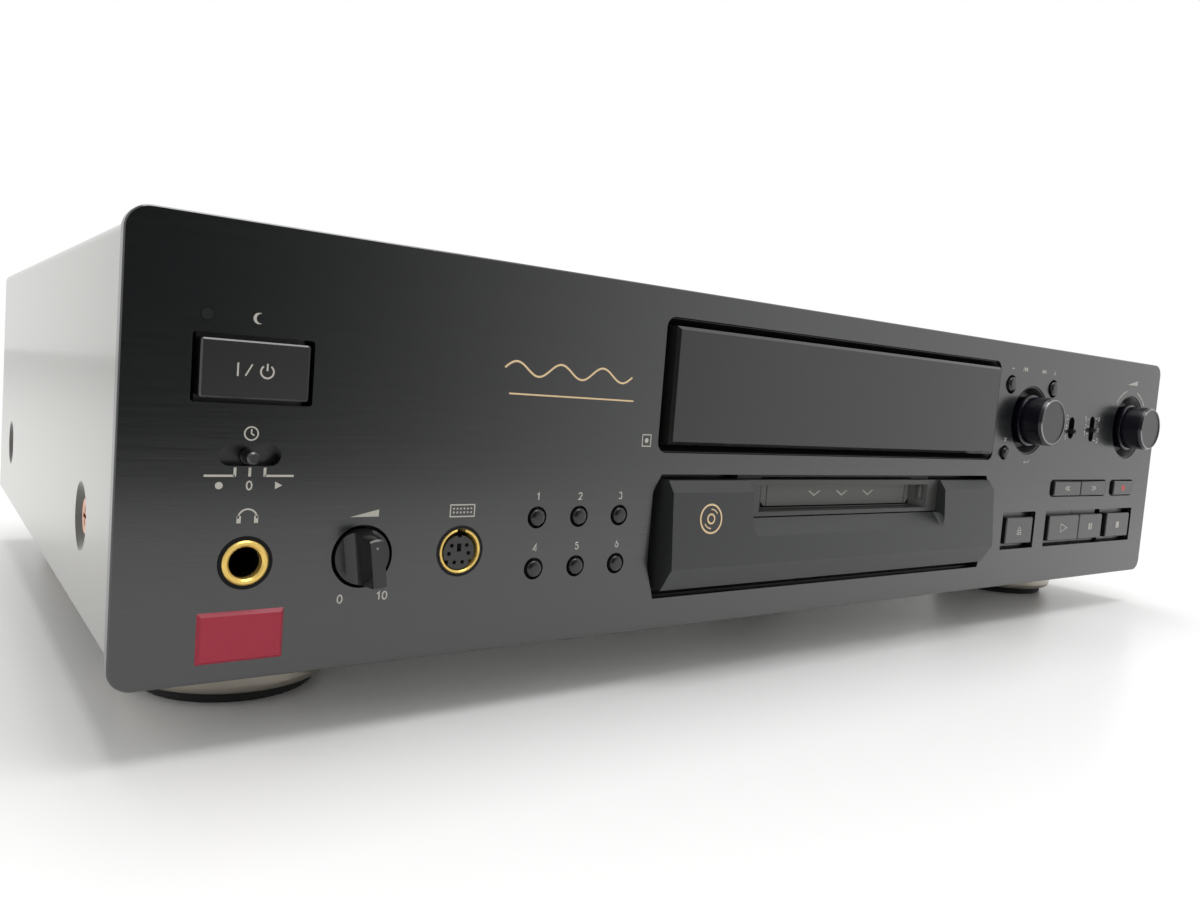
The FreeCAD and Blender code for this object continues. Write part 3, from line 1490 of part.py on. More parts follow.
def make_boards():
    """The control board with its push switches, the display tube and the main board."""
    body = new_body("ControlBoard")
    outline = front_drawing(body, board_front)
    low, high = up(size.board_low_up), up(size.board_high_up)
    notch = size.mech_half + size.board_notch_gap
    notch_left, notch_right = bay_x - notch, bay_x + notch
    half = size.panel_width / 2 - size.board_end_gap
    outline.polygon([
        (-half, low), (notch_left, low), (notch_left, up(size.board_notch_up)),
        (notch_right, up(size.board_notch_up)), (notch_right, low), (half, low),
        (half, high), (-half, high),
    ])
    pad(body, outline, size.board_thick, reverse=True)
    jack = block(size.column_x, face, up(size.jack_up), size.jack_body + size.free_gap * 2,
                 size.jack_body_end, size.jack_body + size.free_gap * 2, centre="xz")
    pieces = [cut(body, jack)]
    for x, z in STEM_PLACES:
        pieces.append(block(x, board_front - size.switch_body_thick, up(z), size.switch_body,
                            size.switch_body_thick, size.switch_body, centre="xz"))
    node("control_board", group(pieces, "ControlBoards"))
    node("display_tube", block(bay_x, board_front - size.tube_thick, up(size.window_up),
                               window_light_wide - size.tube_gap * 2, size.tube_thick,
                               size.tube_tall, centre="xz"))
    left, right = main_board_ends()
    node("main_board", block(left, face + size.main_board_y, chassis_top + size.standoff_tall,
                             right - left, size.main_board_deep, size.board_thick, centre="y"))
    top = chassis_top + size.standoff_tall + size.board_thick
    cans = [rod(left + size.capacitor_in + size.capacitor_pitch * step, face + size.capacitor_y,
                top, size.capacitor_radius, size.capacitor_tall, UP) for step in range(3)]
    node("smoothing_capacitors", group(cans, "Capacitors"))


def make_transformer():
    """The mains transformer: a laminated core with two windows and a winding on its middle leg."""
    x, y = size.transformer_x, face + size.transformer_y
    low = chassis_top
    core = block(x, y, low, size.core_wide, size.core_deep, size.core_tall, centre="xy")
    lugs = block(x, y, low, size.core_wide + size.core_lug * 2, size.core_deep,
                 size.core_lug_tall, centre="xy")
    middle = low + size.core_tall / 2
    shift = (size.core_leg + size.core_window_wide) / 2
    windows = [block(x + way * shift, y, middle, size.core_window_wide, size.core_deep,
                     size.core_window_tall, centre="xyz") for way in (-1, 1)]
    node("transformer_core", cut(fuse(core, lugs), *windows))
    gap = size.winding_gap
    wound = block(x, y, middle, size.core_leg + size.core_window_wide * 2 - gap * 2,
                  size.core_deep + size.winding_over * 2, size.core_window_tall - gap * 2,
                  centre="xyz")
    leg = block(x, y, middle, size.core_leg + gap * 2, size.core_deep + gap * 2,
                size.core_window_tall, centre="xyz")
    node("transformer_winding", cut(wound, leg))


def make_rear_sockets():
    """The line jacks, the optical sockets and the two pin mains inlet."""
    reach = size.jack_reach
    jacks = [turned("LineJack", x, back, up(z), [
        (ZERO, -size.line_inside), (size.line_radius, -size.line_inside),
        (size.line_radius, ZERO), (size.line_flange, ZERO),
        (size.line_flange, size.line_flange_thick), (size.line_radius, size.line_flange_thick),
        (size.line_radius, reach), (size.line_bore, reach), (size.line_bore, ZERO), (ZERO, ZERO),
    ]) for x, z in line_places()]
    node("line_jacks", group(jacks, "LineJacks"))

    sockets = []
    for x, z in optical_places():
        shell = block(x, back - size.optical_inside, up(z), size.optical_body,
                      size.optical_inside + size.optical_proud, size.optical_body, centre="xz")
        mouth = block(x, back + size.optical_proud - size.optical_hole_deep, up(z),
                      size.optical_hole, size.optical_hole_deep, size.optical_hole, centre="xz")
        sockets.append(cut(shell, mouth))
    node("optical_sockets", group(sockets, "OpticalSockets"))

    x, z = size.inlet_x, up(size.inlet_up)
    shell = block(x, back - size.inlet_inside, z, size.inlet_wide,
                  size.inlet_inside + size.inlet_flange_thick, size.inlet_tall, centre="xz")
    flange = block(x, back, z, size.inlet_wide + size.inlet_flange * 2, size.inlet_flange_thick,
                   size.inlet_tall + size.inlet_flange * 2, centre="xz")
    floor = back + size.inlet_flange_thick - size.inlet_hole_deep
    well = block(x, floor, z, size.inlet_hole_wide, size.inlet_hole_deep, size.inlet_hole_tall,
                 centre="xz")
    pins = [rod(x + way * size.inlet_pin_half, floor, z, size.inlet_pin, size.inlet_pin_long)
            for way in (-1, 1)]
    node("mains_inlet", group([cut(fuse(shell, flange), well)] + pins, "MainsInlet"))


# Heights and places inside the disc mechanism.
mech_base = up(size.mech_base_up)
mech_start = face + size.mech_front
holder_low = up(size.holder_low_up)
holder_start = face + size.holder_front
holder_right = bay_x + size.holder_half
rack_line = holder_right + size.gear_dedendum
gear_radius = size.gear_module * size.gear_teeth / 2
gear_x = rack_line + gear_radius
gear_y = face + size.gear_y
disc_centre = holder_start + size.holder_travel + size.holder_long / 2
rod_axis = up(size.rod_up)


def make_mech_frame():
    """The mechanism's pressed frame: base, side walls, rails, rod posts and the arm's ears."""
    base_thick = size.rail_thick
    wide = size.mech_half * 2
    floor = block(bay_x, mech_start, mech_base, wide, size.mech_long, base_thick, centre="x")
    wall_tall = size.mech_wall_up - size.mech_base_up
    pieces = [floor]
    rail_wide = size.mech_half - size.rail_in
    for way in (-1, 1):
        wall_x = bay_x + way * (size.mech_half - base_thick / 2)
        pieces.append(block(wall_x, mech_start, mech_base, base_thick, size.mech_long,
                            wall_tall, centre="x"))
        rail_x = bay_x + way * (size.mech_half - rail_wide / 2)
        pieces.append(block(rail_x, mech_start, holder_low - size.rail_thick, rail_wide,
                            size.rail_long, size.rail_thick, centre="x"))
        leg_x = bay_x + way * (size.mech_half - size.mech_leg_in)
        for leg_y in (mech_start + size.mech_leg_in,
                      mech_start + size.mech_long - size.mech_leg_in):
            pieces.append(rod(leg_x, leg_y, chassis_top, size.mech_leg, mech_base - chassis_top,
                              UP))
        ear_x = bay_x + way * (size.ear_half + size.ear_thick / 2)
        ear_tall = up(size.arm_pivot_up) + size.arm_barrel - mech_base
        pieces.append(block(ear_x, face + size.arm_pivot, mech_base, size.ear_thick,
                            size.arm_barrel * 2, ear_tall, centre="xy"))
    front_post = face + size.rod_start
    rear_post = mech_start + size.mech_long - size.post_wide
    post_tall = rod_axis - mech_base + size.post_wide / 2
    rod_hole = size.rod_radius + size.running_gap
    tools = []
    for x, starts in ((-size.rod_half, (front_post, rear_post)),
                      (size.rod_half, (front_post, rear_post)), (size.screw_x, (front_post,))):
        for start in starts:
            pieces.append(block(bay_x + x, start, mech_base, size.post_wide,
                                size.post_wide, post_tall, centre="x"))
            tools.append(rod(bay_x + x, start, rod_axis, rod_hole, size.post_wide))
    whole = fuse(*pieces)
    ear_run = (size.ear_half + size.ear_thick) * 2
    tools.append(rod(bay_x - ear_run / 2, face + size.arm_pivot, up(size.arm_pivot_up),
                     rod_hole, ear_run, RIGHT))
    tools.append(rod(gear_x, gear_y, holder_low - size.rail_thick,
                     size.gear_shaft + size.running_gap, size.rail_thick, UP))
    node("mech_frame", cut(whole, *tools))


def make_holder():
    """The cartridge holder: a folded channel with ledges below and a rack on its right side."""
    body = new_body("DiscHolder")
    section = front_drawing(body, holder_start)
    half, wall = size.holder_half, size.holder_wall
    inner = half - wall
    thick = size.rail_thick
    room_low = holder_low + thick
    room_high = room_low + size.cartridge_room
    high = room_high + thick
    mouth = inner - size.holder_ledge
    x = bay_x
    section.polygon([
        (x - half, holder_low), (x - mouth, holder_low), (x - mouth, room_low),
        (x - inner, room_low), (x - inner, room_high), (x + inner, room_high),
        (x + inner, room_low), (x + mouth, room_low), (x + mouth, holder_low),
        (x + half, holder_low), (x + half, high), (x - half, high),
    ])
    pad(body, section, size.holder_long, reverse=True)
    tooth = Drawing(body, "XY_Plane", up(size.gear_up))
    pitch = math.pi * size.gear_module
    first = gear_y - pitch * (size.rack_teeth - 2) + pitch / 2
    root_x, tip_x = rack_line - size.gear_dedendum, rack_line + size.gear_addendum
    sunk = wall / 2
    tooth.polygon([
        (root_x - sunk, first - size.gear_root_half), (root_x, first - size.gear_root_half),
        (tip_x, first - size.gear_tip_half), (tip_x, first + size.gear_tip_half),
        (root_x, first + size.gear_root_half), (root_x - sunk, first + size.gear_root_half),
    ])
    rack_tooth = pad(body, tooth, size.gear_thick)
    rack = body.newObject("PartDesign::LinearPattern", "Rack")
    rack.Originals = [rack_tooth]
    rack.Direction = (tooth.sketch, ["V_Axis"])
    tie(rack, "Length", pitch * (size.rack_teeth - 1))
    tie(rack, "Occurrences", size.rack_teeth)
    body.Tip = rack
    node("disc_holder", body)


def make_loading_gear():
    """The pinion that draws the holder in. A tooth points at the rack in the rest position."""
    body = new_body("LoadingGear")
    root = gear_radius - size.gear_dedendum
    disc = Drawing(body, "XY_Plane")
    disc.circle(ZERO, ZERO, root)
    pad(body, disc, size.gear_thick)
    tooth = Drawing(body, "XY_Plane")
    sunk = root - size.gear_root_half
    tip = gear_radius + size.gear_addendum
    tooth.polygon([
        (-sunk, -size.gear_root_half), (-sunk, size.gear_root_half),
        (-root, size.gear_root_half), (-tip, size.gear_tip_half),
        (-tip, -size.gear_tip_half), (-root, -size.gear_root_half),
    ])
    first = pad(body, tooth, size.gear_thick)
    teeth = body.newObject("PartDesign::PolarPattern", "Teeth")
    teeth.Originals = [first]
    teeth.Axis = (tooth.sketch, ["N_Axis"])
    teeth.Angle = FULL_TURN
    tie(teeth, "Occurrences", size.gear_teeth)
    body.Tip = teeth
    place(body, gear_x, gear_y, up(size.gear_up))
    shaft_low = mech_base + size.rail_thick + size.sled_tall
    shaft = rod(gear_x, gear_y, shaft_low, size.gear_shaft, up(size.gear_up) - shaft_low, UP)
    node("loading_gear", fuse(body, shaft))


def make_motors():
    """The spindle, loading and sled motors, each with a bearing bore."""
    floor = mech_base + size.rail_thick
    spindle_top = up(size.turntable_up) - size.motor_wall_gap
    spindle = cut(
        rod(bay_x, disc_centre, floor, size.spindle_motor_radius, spindle_top - floor, UP),
        rod(bay_x, disc_centre, floor + size.rail_thick,
            size.turntable_shaft + size.running_gap, spindle_top - floor, UP),
    )
    loading_top = holder_low - size.rail_thick - size.motor_wall_gap
    loading = cut(
        rod(gear_x, gear_y, floor, size.loading_motor_radius, loading_top - floor, UP),
        rod(gear_x, gear_y, floor + size.rail_thick, size.gear_shaft + size.running_gap,
            loading_top - floor, UP),
    )
    sled_x = bay_x + size.screw_x
    sled_start = face + size.screw_end
    sled = cut(
        fuse(
            rod(sled_x, sled_start, rod_axis, size.sled_motor_radius, size.sled_motor_long),
            block(sled_x, sled_start, floor, size.sled_motor_radius, size.sled_motor_long,
                  rod_axis - floor, centre="x"),
        ),
        rod(sled_x, sled_start, rod_axis, size.rod_radius + size.running_gap, size.post_wide),
    )
    node("drive_motors", group((spindle, loading, sled), "DriveMotors"))


def make_disc_drive():
    """The turntable, its optical sled with guide rods and lead screw, and the head arm."""
    shaft_long = up(size.turntable_up) - (mech_base + size.rail_thick * 3)
    node("turntable", fuse(
        rod(bay_x, disc_centre, up(size.turntable_up), size.turntable_radius,
            size.turntable_thick, UP),
        rod(bay_x, disc_centre, mech_base + size.rail_thick * 3, size.turntable_shaft,
            shaft_long, UP),
    ))
    rod_end = mech_start + size.mech_long
    rods = [rod(bay_x + way * size.rod_half, face + size.rod_start, rod_axis,
                size.rod_radius, rod_end - face - size.rod_start) for way in (-1, 1)]
    node("guide_rods", group(rods, "GuideRods"))

    sled_start = face + size.rod_start + size.post_wide + size.free_gap
    low = up(size.sled_low_up)
    reach = size.screw_x + size.sled_motor_radius
    body = block(bay_x - size.sled_half, sled_start, low, size.sled_half + reach,
                 size.sled_long, size.sled_tall)
    lens = rod(bay_x, sled_start + size.lens_radius + size.lens_edge,
               low + size.sled_tall, size.lens_radius, size.lens_tall, UP)
    bores = [rod(bay_x + x, sled_start, rod_axis, size.rod_radius + size.running_gap,
                 size.sled_long) for x in (-size.rod_half, size.rod_half, size.screw_x)]
    node("optical_sled", cut(fuse(body, lens), *bores))
    screw_long = size.screw_end + size.post_wide - size.free_gap - size.rod_start
    node("lead_screw", rod(bay_x + size.screw_x, face + size.rod_start, rod_axis,
                           size.rod_radius, screw_long))

    pivot_y, pivot_z = face + size.arm_pivot, up(size.arm_pivot_up)
    tip_y = face + size.arm_tip
    plate = block(bay_x, tip_y, up(size.arm_up), size.arm_half * 2, pivot_y - tip_y,
                  size.arm_thick, centre="x")
    barrel = rod(bay_x - size.arm_half, pivot_y, pivot_z, size.arm_barrel,
                 size.arm_half * 2, RIGHT)
    run = (size.ear_half + size.ear_thick) * 2
    pin = rod(bay_x - run / 2, pivot_y, pivot_z, size.rod_radius, run, RIGHT)
    head = block(bay_x, tip_y, up(size.arm_up) - size.head_tall, size.arm_half * 2,
                 size.head_long, size.head_tall, centre="x")
    node("head_arm", fuse(plate, barrel, pin, head))


make_front_panel()
make_front_frame()
make_window()
make_bezel()
make_mouth()
make_shutter()
make_lamp_and_badge()
make_headphone_jack()
make_keyboard_socket()
make_socket_rings()
make_cover()
make_screws()
make_chassis()
make_rear_panel()
make_feet()
for name, button in ROUND_BUTTONS.items():
    make_round_button(name, *button)
for name, key in KEYS.items():
    make_key(name, *key)
for name, switch in SWITCHES.items():
    make_slider(name, *switch)
make_dial()
make_knobs()
make_controls()
make_boards()
make_transformer()
make_rear_sockets()
make_mech_frame()
make_holder()
make_loading_gear()
make_motors()
make_disc_drive()

doc.recompute()
for item in doc.Objects:
    if "Invalid" in item.State or "Error" in item.State:
        raise RuntimeError(f"{item.Label} ({item.TypeId}) failed: {item.State}")
for name, piece in NODES.items():
    if piece.Shape.isNull() or not piece.Shape.isValid():
        raise RuntimeError(f"{name} has no valid shape")

os.makedirs("parts", exist_ok=True)
for name, piece in NODES.items():
    piece.Shape.exportStep(f"parts/{name}.step")
    box = piece.Shape.BoundBox
    print(f"{name}: {len(piece.Shape.Solids)} solids, {piece.Shape.Volume:.1f} mm3, "
          f"x {box.XMin:.2f}..{box.XMax:.2f} y {box.YMin:.2f}..{box.YMax:.2f} "
          f"z {box.ZMin:.2f}..{box.ZMax:.2f}")
print(len(NODES), "nodes")
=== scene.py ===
"""Looks of the minidisc deck: camera, lights, materials, and pieces that the plain solids lack."""
import json
import math

import bmesh
import bpy
from mathutils import Matrix, Vector


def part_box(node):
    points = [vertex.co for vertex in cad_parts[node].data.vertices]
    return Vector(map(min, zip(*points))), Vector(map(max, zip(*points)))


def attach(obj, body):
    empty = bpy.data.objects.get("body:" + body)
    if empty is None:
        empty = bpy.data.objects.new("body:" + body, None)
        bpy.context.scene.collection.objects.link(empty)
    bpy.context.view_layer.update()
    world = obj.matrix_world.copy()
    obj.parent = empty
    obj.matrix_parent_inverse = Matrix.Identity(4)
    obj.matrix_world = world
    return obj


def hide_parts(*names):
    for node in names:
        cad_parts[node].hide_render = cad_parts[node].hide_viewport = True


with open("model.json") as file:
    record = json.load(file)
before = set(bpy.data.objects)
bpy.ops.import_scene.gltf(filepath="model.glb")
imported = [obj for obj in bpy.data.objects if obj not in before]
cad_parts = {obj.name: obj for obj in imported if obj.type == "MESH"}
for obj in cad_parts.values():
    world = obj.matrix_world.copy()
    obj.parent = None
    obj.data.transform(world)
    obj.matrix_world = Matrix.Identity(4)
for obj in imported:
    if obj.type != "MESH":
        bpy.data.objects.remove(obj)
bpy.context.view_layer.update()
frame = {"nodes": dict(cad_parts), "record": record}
NODES = frame["nodes"]

# Sizes are in millimetres, as on the solids
MM = 0.001
MARK_LIFT = 0.02
FINE, THIN, FIRM, BOLD = 0.28, 0.3, 0.32, 0.5
PLATE_THICK, FLANGE_BACK, FLANGE_LAP = 3.0, 4.2, 0.6
STEM_RADIUS, STEM_END = 1.5, 10.4
PLATE_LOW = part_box("front_panel")[0]
FACE = PLATE_LOW.y
BASE = PLATE_LOW.z


def deck(x, y, z):
    """A point: right of the deck's middle, behind the plate's face and above its lower edge."""
    return Vector((x * MM, FACE + y * MM, BASE + z * MM))


def middle(node):
    """The middle of a node's front face, in millimetres from the plate's middle and lower edge."""
    low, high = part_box(node)
    return (low.x + high.x) / 2 / MM, ((low.z + high.z) / 2 - BASE) / MM


def front_of(node):
    """How far behind the plate's face a node's front lies. Less than nothing is in front of it."""
    return (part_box(node)[0].y - FACE) / MM


# Materials

def new_material(name, color, rough, **sockets):
    """A material with a colour and a roughness, and other sockets by name."""
    made = bpy.data.materials.new(name)
    made.use_nodes = True
    shader = made.node_tree.nodes["Principled BSDF"]
    shader.inputs["Base Color"].default_value = (*color, 1.0)
    shader.inputs["Roughness"].default_value = rough
    for key, value in sockets.items():
        shader.inputs[key.replace("_", " ")].default_value = value
    return made


def noise(material, scale, detail=3.0, stretch=(1, 1, 1)):
    """A noise texture in the piece's own place, stretched along an axis by a small factor on it."""
    tree = material.node_tree
    where = tree.nodes.new("ShaderNodeTexCoord")
    mapping = tree.nodes.new("ShaderNodeMapping")
    mapping.inputs["Scale"].default_value = stretch
    texture = tree.nodes.new("ShaderNodeTexNoise")
    texture.inputs["Scale"].default_value = scale
    texture.inputs["Detail"].default_value = detail
    tree.links.new(where.outputs["Object"], mapping.inputs["Vector"])
    tree.links.new(mapping.outputs["Vector"], texture.inputs["Vector"])
    return texture


def grain(material, scale, strength, distance=0.0001, stretch=(1, 1, 1), detail=3.0):
    """A fine surface relief."""
    tree = material.node_tree
    texture = noise(material, scale, detail, stretch)
    bump = tree.nodes.new("ShaderNodeBump")
    bump.inputs["Strength"].default_value = strength
    bump.inputs["Distance"].default_value = distance
    tree.links.new(texture.outputs["Fac"], bump.inputs["Height"])
    tree.links.new(bump.outputs["Normal"], tree.nodes["Principled BSDF"].inputs["Normal"])
    return material


def vary(material, socket, low, high, scale, stretch=(1, 1, 1), detail=4.0):
    """A socket's value that wanders between two limits over the surface."""
    tree = material.node_tree
    texture = noise(material, scale, detail, stretch)
    spread = tree.nodes.new("ShaderNodeMapRange")
    spread.inputs["From Min"].default_value = 0.3
    spread.inputs["From Max"].default_value = 0.7
    spread.inputs["To Min"].default_value = low
    spread.inputs["To Max"].default_value = high
    tree.links.new(texture.outputs["Fac"], spread.inputs["Value"])
    tree.links.new(spread.outputs["Result"], tree.nodes["Principled BSDF"].inputs[socket])
    return material


BRUSH = (0.02, 1, 1)
front_metal = new_material("front_plate", (0.0066, 0.0076, 0.0080), 0.22, IOR=1.87)
vary(front_metal, "Roughness", 0.18, 0.23, 2600, BRUSH)
grain(front_metal, 3600, 0.1, 0.00003, BRUSH)
black_moulding = grain(new_material("black_moulding", (0.006, 0.006, 0.007), 0.34), 2500, 0.1)
collar_black = new_material("collar_black", (0.004, 0.004, 0.004), 0.5, Specular_IOR_Level=0.2)
smoked = new_material("smoked_window", (0.013, 0.012, 0.0115), 0.12, IOR=1.6)
bezel_plastic = grain(new_material("bezel_plastic", (0.026, 0.027, 0.028), 0.36,
                                   Specular_IOR_Level=0.6), 3000, 0.12)
shutter_plastic = new_material("shutter_plastic", (0.10, 0.104, 0.092), 0.42)
mouth_plastic = new_material("mouth_plastic", (0.045, 0.046, 0.044), 0.38)
socket_grey = new_material("socket_grey", (0.04, 0.04, 0.04), 0.5)
lamp = new_material("lamp_lens", (0.018, 0.02, 0.018), 0.25)
gold = new_material("gold_ring", (0.92, 0.64, 0.17), 0.26, Metallic=0.6)
red_badge = new_material("red_badge", (0.36, 0.02, 0.045), 0.28, Specular_IOR_Level=0.35)
cover_paint = grain(new_material("black_steel", (0.02, 0.02, 0.019), 0.2, Specular_IOR_Level=0.8,
                                 Specular_Tint=(1, 0.99, 0.94, 1), Coat_Weight=0.6,
                                 Coat_Roughness=0.12, Coat_Tint=(1, 0.99, 0.94, 1)),
                    1400, 0.06, 0.00005)
copper = new_material("copper_screw", (0.80, 0.42, 0.26), 0.28, Metallic=1.0)
plated = vary(new_material("plated_steel", (0.62, 0.62, 0.60), 0.35, Metallic=1.0), "Roughness",
              0.28, 0.45, 60)
foot_metal = new_material("foot_metal", (0.50, 0.46, 0.40), 0.34, Metallic=1.0)
rubber = grain(new_material("foot_rubber", (0.012, 0.012, 0.012), 0.7), 1200, 0.2)
jack_metal = new_material("jack_metal", (0.80, 0.66, 0.38), 0.25, Metallic=1.0)
socket_plastic = new_material("socket_plastic", (0.02, 0.02, 0.02), 0.45)
laminated = new_material("laminated_iron", (0.06, 0.06, 0.065), 0.5)
tape = new_material("winding_tape", (0.65, 0.42, 0.06), 0.5)
board = new_material("circuit_board", (0.03, 0.14, 0.05), 0.4)
sleeve = new_material("capacitor_sleeve", (0.02, 0.025, 0.08), 0.3)
tube = new_material("tube_glass", (0.03, 0.04, 0.04), 0.1)
can = new_material("motor_can", (0.55, 0.55, 0.55), 0.35, Metallic=1.0)
bright = new_material("bright_steel", (0.75, 0.75, 0.75), 0.15, Metallic=1.0)
nylon = new_material("white_nylon", (0.78, 0.78, 0.74), 0.5)
button_plastic = grain(new_material("button_plastic", (0.0085, 0.0088, 0.009), 0.3, IOR=1.84),
                       3000, 0.1)
cap_gloss = new_material("cap_gloss", (0.012, 0.012, 0.013), 0.2, Specular_IOR_Level=0.6)
knob_metal = new_material("knob_metal", (0.003, 0.0032, 0.007), 0.24)
# Bright metal for thin knob rings that stand in for light: a painted glint at the face's edge and a
# painted highlight at the skirt's edge
knob_painted_glint = new_material("knob_painted_glint", (0.3, 0.3, 0.31), 0.22, Metallic=1.0)
knob_satin = new_material("knob_satin", (0.022, 0.022, 0.022), 0.32, Specular_IOR_Level=0.6)
LOOKS = {
    "front_plate": front_metal, "black_moulding": black_moulding, "smoked_window": smoked,
    "bezel_plastic": bezel_plastic, "lamp_lens": lamp, "gold_ring": gold, "red_badge": red_badge,
    "black_steel": cover_paint, "copper_screw": copper, "plated_steel": plated,
    "foot_metal": foot_metal, "foot_rubber": rubber, "jack_metal": jack_metal,
    "socket_plastic": socket_plastic, "laminated_iron": laminated, "winding_tape": tape,
    "circuit_board": board, "capacitor_sleeve": sleeve, "tube_glass": tube, "motor_can": can,
    "bright_steel": bright, "white_nylon": nylon, "button_plastic": button_plastic,
    "knob_metal": knob_metal,
}
OWN_LOOKS = {
    "headphone_jack": collar_black, "keyboard_socket": socket_grey, "phones_knob": cap_gloss,
    "slot_shutter": shutter_plastic, "slot_mouth": mouth_plastic,
}
for part in frame["record"]["subparts"]:
    piece = NODES[part["node"]]
    look = OWN_LOOKS.get(part["node"], LOOKS[part["material_slot"]])
    for spot in piece.material_slots:
        spot.material = look

# Light ink for print, also used for the two arcs of painted glint by the record level's well
ink_and_glint = new_material("ink_and_glint", (0.48, 0.46, 0.41), 0.5)
dim_ink = new_material("dim_ink", (0.2, 0.2, 0.19), 0.5)
gold_ink = new_material("gold_ink", (0.75, 0.56, 0.32), 0.45)
red_ink = new_material("red_ink", (0.60, 0.05, 0.05), 0.45)


# Mesh tools

def make_piece(name, mesh_maker, look, body, smooth=False):
    """A piece from a mesh maker, in one material, that rides on a body."""
    mesh = bpy.data.meshes.new(name)
    shape = bmesh.new()
    mesh_maker(shape)
    shape.normal_update()
    shape.to_mesh(mesh)
    shape.free()
    mesh.materials.append(look)
    for face in mesh.polygons:
        face.use_smooth = smooth
    made = bpy.data.objects.new(name, mesh)
    bpy.context.scene.collection.objects.link(made)
    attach(made, body)
    return made


def lathe(x, z, outline, turns=96, sharp=32):
    """A mesh maker: (radius, depth) pairs turned round an axis that runs to the rear."""
    def build(shape):
        rings = []
        for radius, y in outline:
            count = turns if radius > 0 else 1
            rings.append([shape.verts.new(deck(x + radius * math.cos(math.tau * i / turns), y,
                                               z + radius * math.sin(math.tau * i / turns)))
                          for i in range(count)])
        for first, second in zip(rings, rings[1:]):
            for i in range(turns):
                after = (i + 1) % turns
                corners = [first[i % len(first)], first[after % len(first)],
                           second[after % len(second)], second[i % len(second)]]
                shape.faces.new(list(dict.fromkeys(corners)))
        bmesh.ops.recalc_face_normals(shape, faces=shape.faces)
        for edge in shape.edges:
            edge.smooth = edge.calc_face_angle(0) < math.radians(sharp)
    return build


def arc(cx, cz, rx, rz, start, end, steps=24):
    """Points on an ellipse, from one angle in degrees to another."""
    points = []
    for i in range(steps + 1):
        angle = math.radians(start + (end - start) * i / steps)
        points.append((cx + rx * math.cos(angle), cz + rz * math.sin(angle)))
    return points


SAME_POINT = 1e-6
SHARPEST_JOINT = 0.35


def ribbon(path, width):
    """Quads along a path, joined square at its corners: a list of four point outlines."""
    closed = math.dist(path[0], path[-1]) < SAME_POINT and len(path) > 2
    points = path[:-1] if closed else path
    count = len(points)
    sides = []
    for i, point in enumerate(points):
        before = points[i - 1] if closed or i else point
        after = points[(i + 1) % count] if closed or i < count - 1 else point
        a = Vector((point[0] - before[0], point[1] - before[1]))
        b = Vector((after[0] - point[0], after[1] - point[1]))
        a = a.normalized() if a.length else b.normalized()
        b = b.normalized() if b.length else a
        along = (a + b).normalized() if (a + b).length > SAME_POINT else a
        normal = Vector((-along.y, along.x))
        stretch = width / 2 / max(SHARPEST_JOINT, normal.dot(Vector((-a.y, a.x))))
        sides.append((Vector(point) + normal * stretch, Vector(point) - normal * stretch))
    quads = []
    for i in range(count if closed else count - 1):
        p, q = sides[i], sides[(i + 1) % count]
        quads.append([p[0], q[0], q[1], p[1]])
    return quads


class Print:
    """Flat marks on a face that looks to the front, whose depth may change with height: print, and
    a few painted glints.
    """

    def __init__(self, name, look, body="deck", slot="foot_metal", y=0.0):
        self.name, self.look, self.body, self.slot, self.y = name, look, body, slot, y
        self.areas = []

    def depth(self, z):
        return self.y(z) if callable(self.y) else self.y

    def line(self, path, width=FINE):
        self.areas += ribbon(path, width)

    def area(self, outline):
        self.areas.append([Vector(p) for p in outline])

    def lines(self, x, z, scale, paths, width=FINE):
        for path in paths:
            self.line([(x + px * scale, z + pz * scale) for px, pz in path], width)

    def make(self):
        def build(shape):
            for outline in self.areas:
                spots = [shape.verts.new(deck(p[0], self.depth(p[1]) - MARK_LIFT, p[1]))
                         for p in outline]
                face = shape.faces.new(spots)
                face.normal_update()
                if face.normal.y > 0:
                    face.normal_flip()
        return make_piece(self.name, build, self.look, self.body)


DIGITS = {
    "0": [arc(0.3, 0.5, 0.3, 0.5, 0, 360)],
    "1": [[(0.08, 0.76), (0.36, 1.0), (0.36, 0.0)]],
    "2": [arc(0.3, 0.7, 0.28, 0.3, 170, -40, 12) + [(0.02, 0.0), (0.6, 0.0)]],
    "3": [arc(0.28, 0.75, 0.25, 0.25, 150, -80, 12), arc(0.28, 0.26, 0.3, 0.26, 80, -150, 14)],
    "4": [[(0.62, 0.28), (0.0, 0.28), (0.46, 1.0), (0.46, 0.0)]],
    "5": [[(0.56, 1.0), (0.12, 1.0), (0.06, 0.56)], arc(0.28, 0.33, 0.31, 0.33, 125, -145, 14)],
    "6": [arc(0.3, 0.31, 0.28, 0.31, 0, 360), arc(0.62, 0.36, 0.6, 0.66, 175, 115, 8)],
}


DIGIT_PITCH, DIGIT_WIDE = 0.82, 0.6


def number(marks, x, z, text, tall, width=THIN):
    """Digits centred on a point."""
    span = DIGIT_PITCH * (len(text) - 1) + DIGIT_WIDE
    for place, digit in enumerate(text):
        marks.lines(x - span * tall / 2 + place * DIGIT_PITCH * tall, z - tall / 2, tall,
                    DIGITS[digit], width)


# Printed marks of the front plate, and two arcs of painted glint by the record level's well

marks = Print("plate_marks", ink_and_glint)


def moon(x, z, r):
    outer = arc(0, 0, r, r, 60, 300, 20)
    inner = arc(r * 0.45, 0, r * 0.9, r * 0.9, 247, 113, 20)
    marks.area([(x + a, z + b) for a, b in outer + inner])


moon(-189.6, 74.9, 1.15)

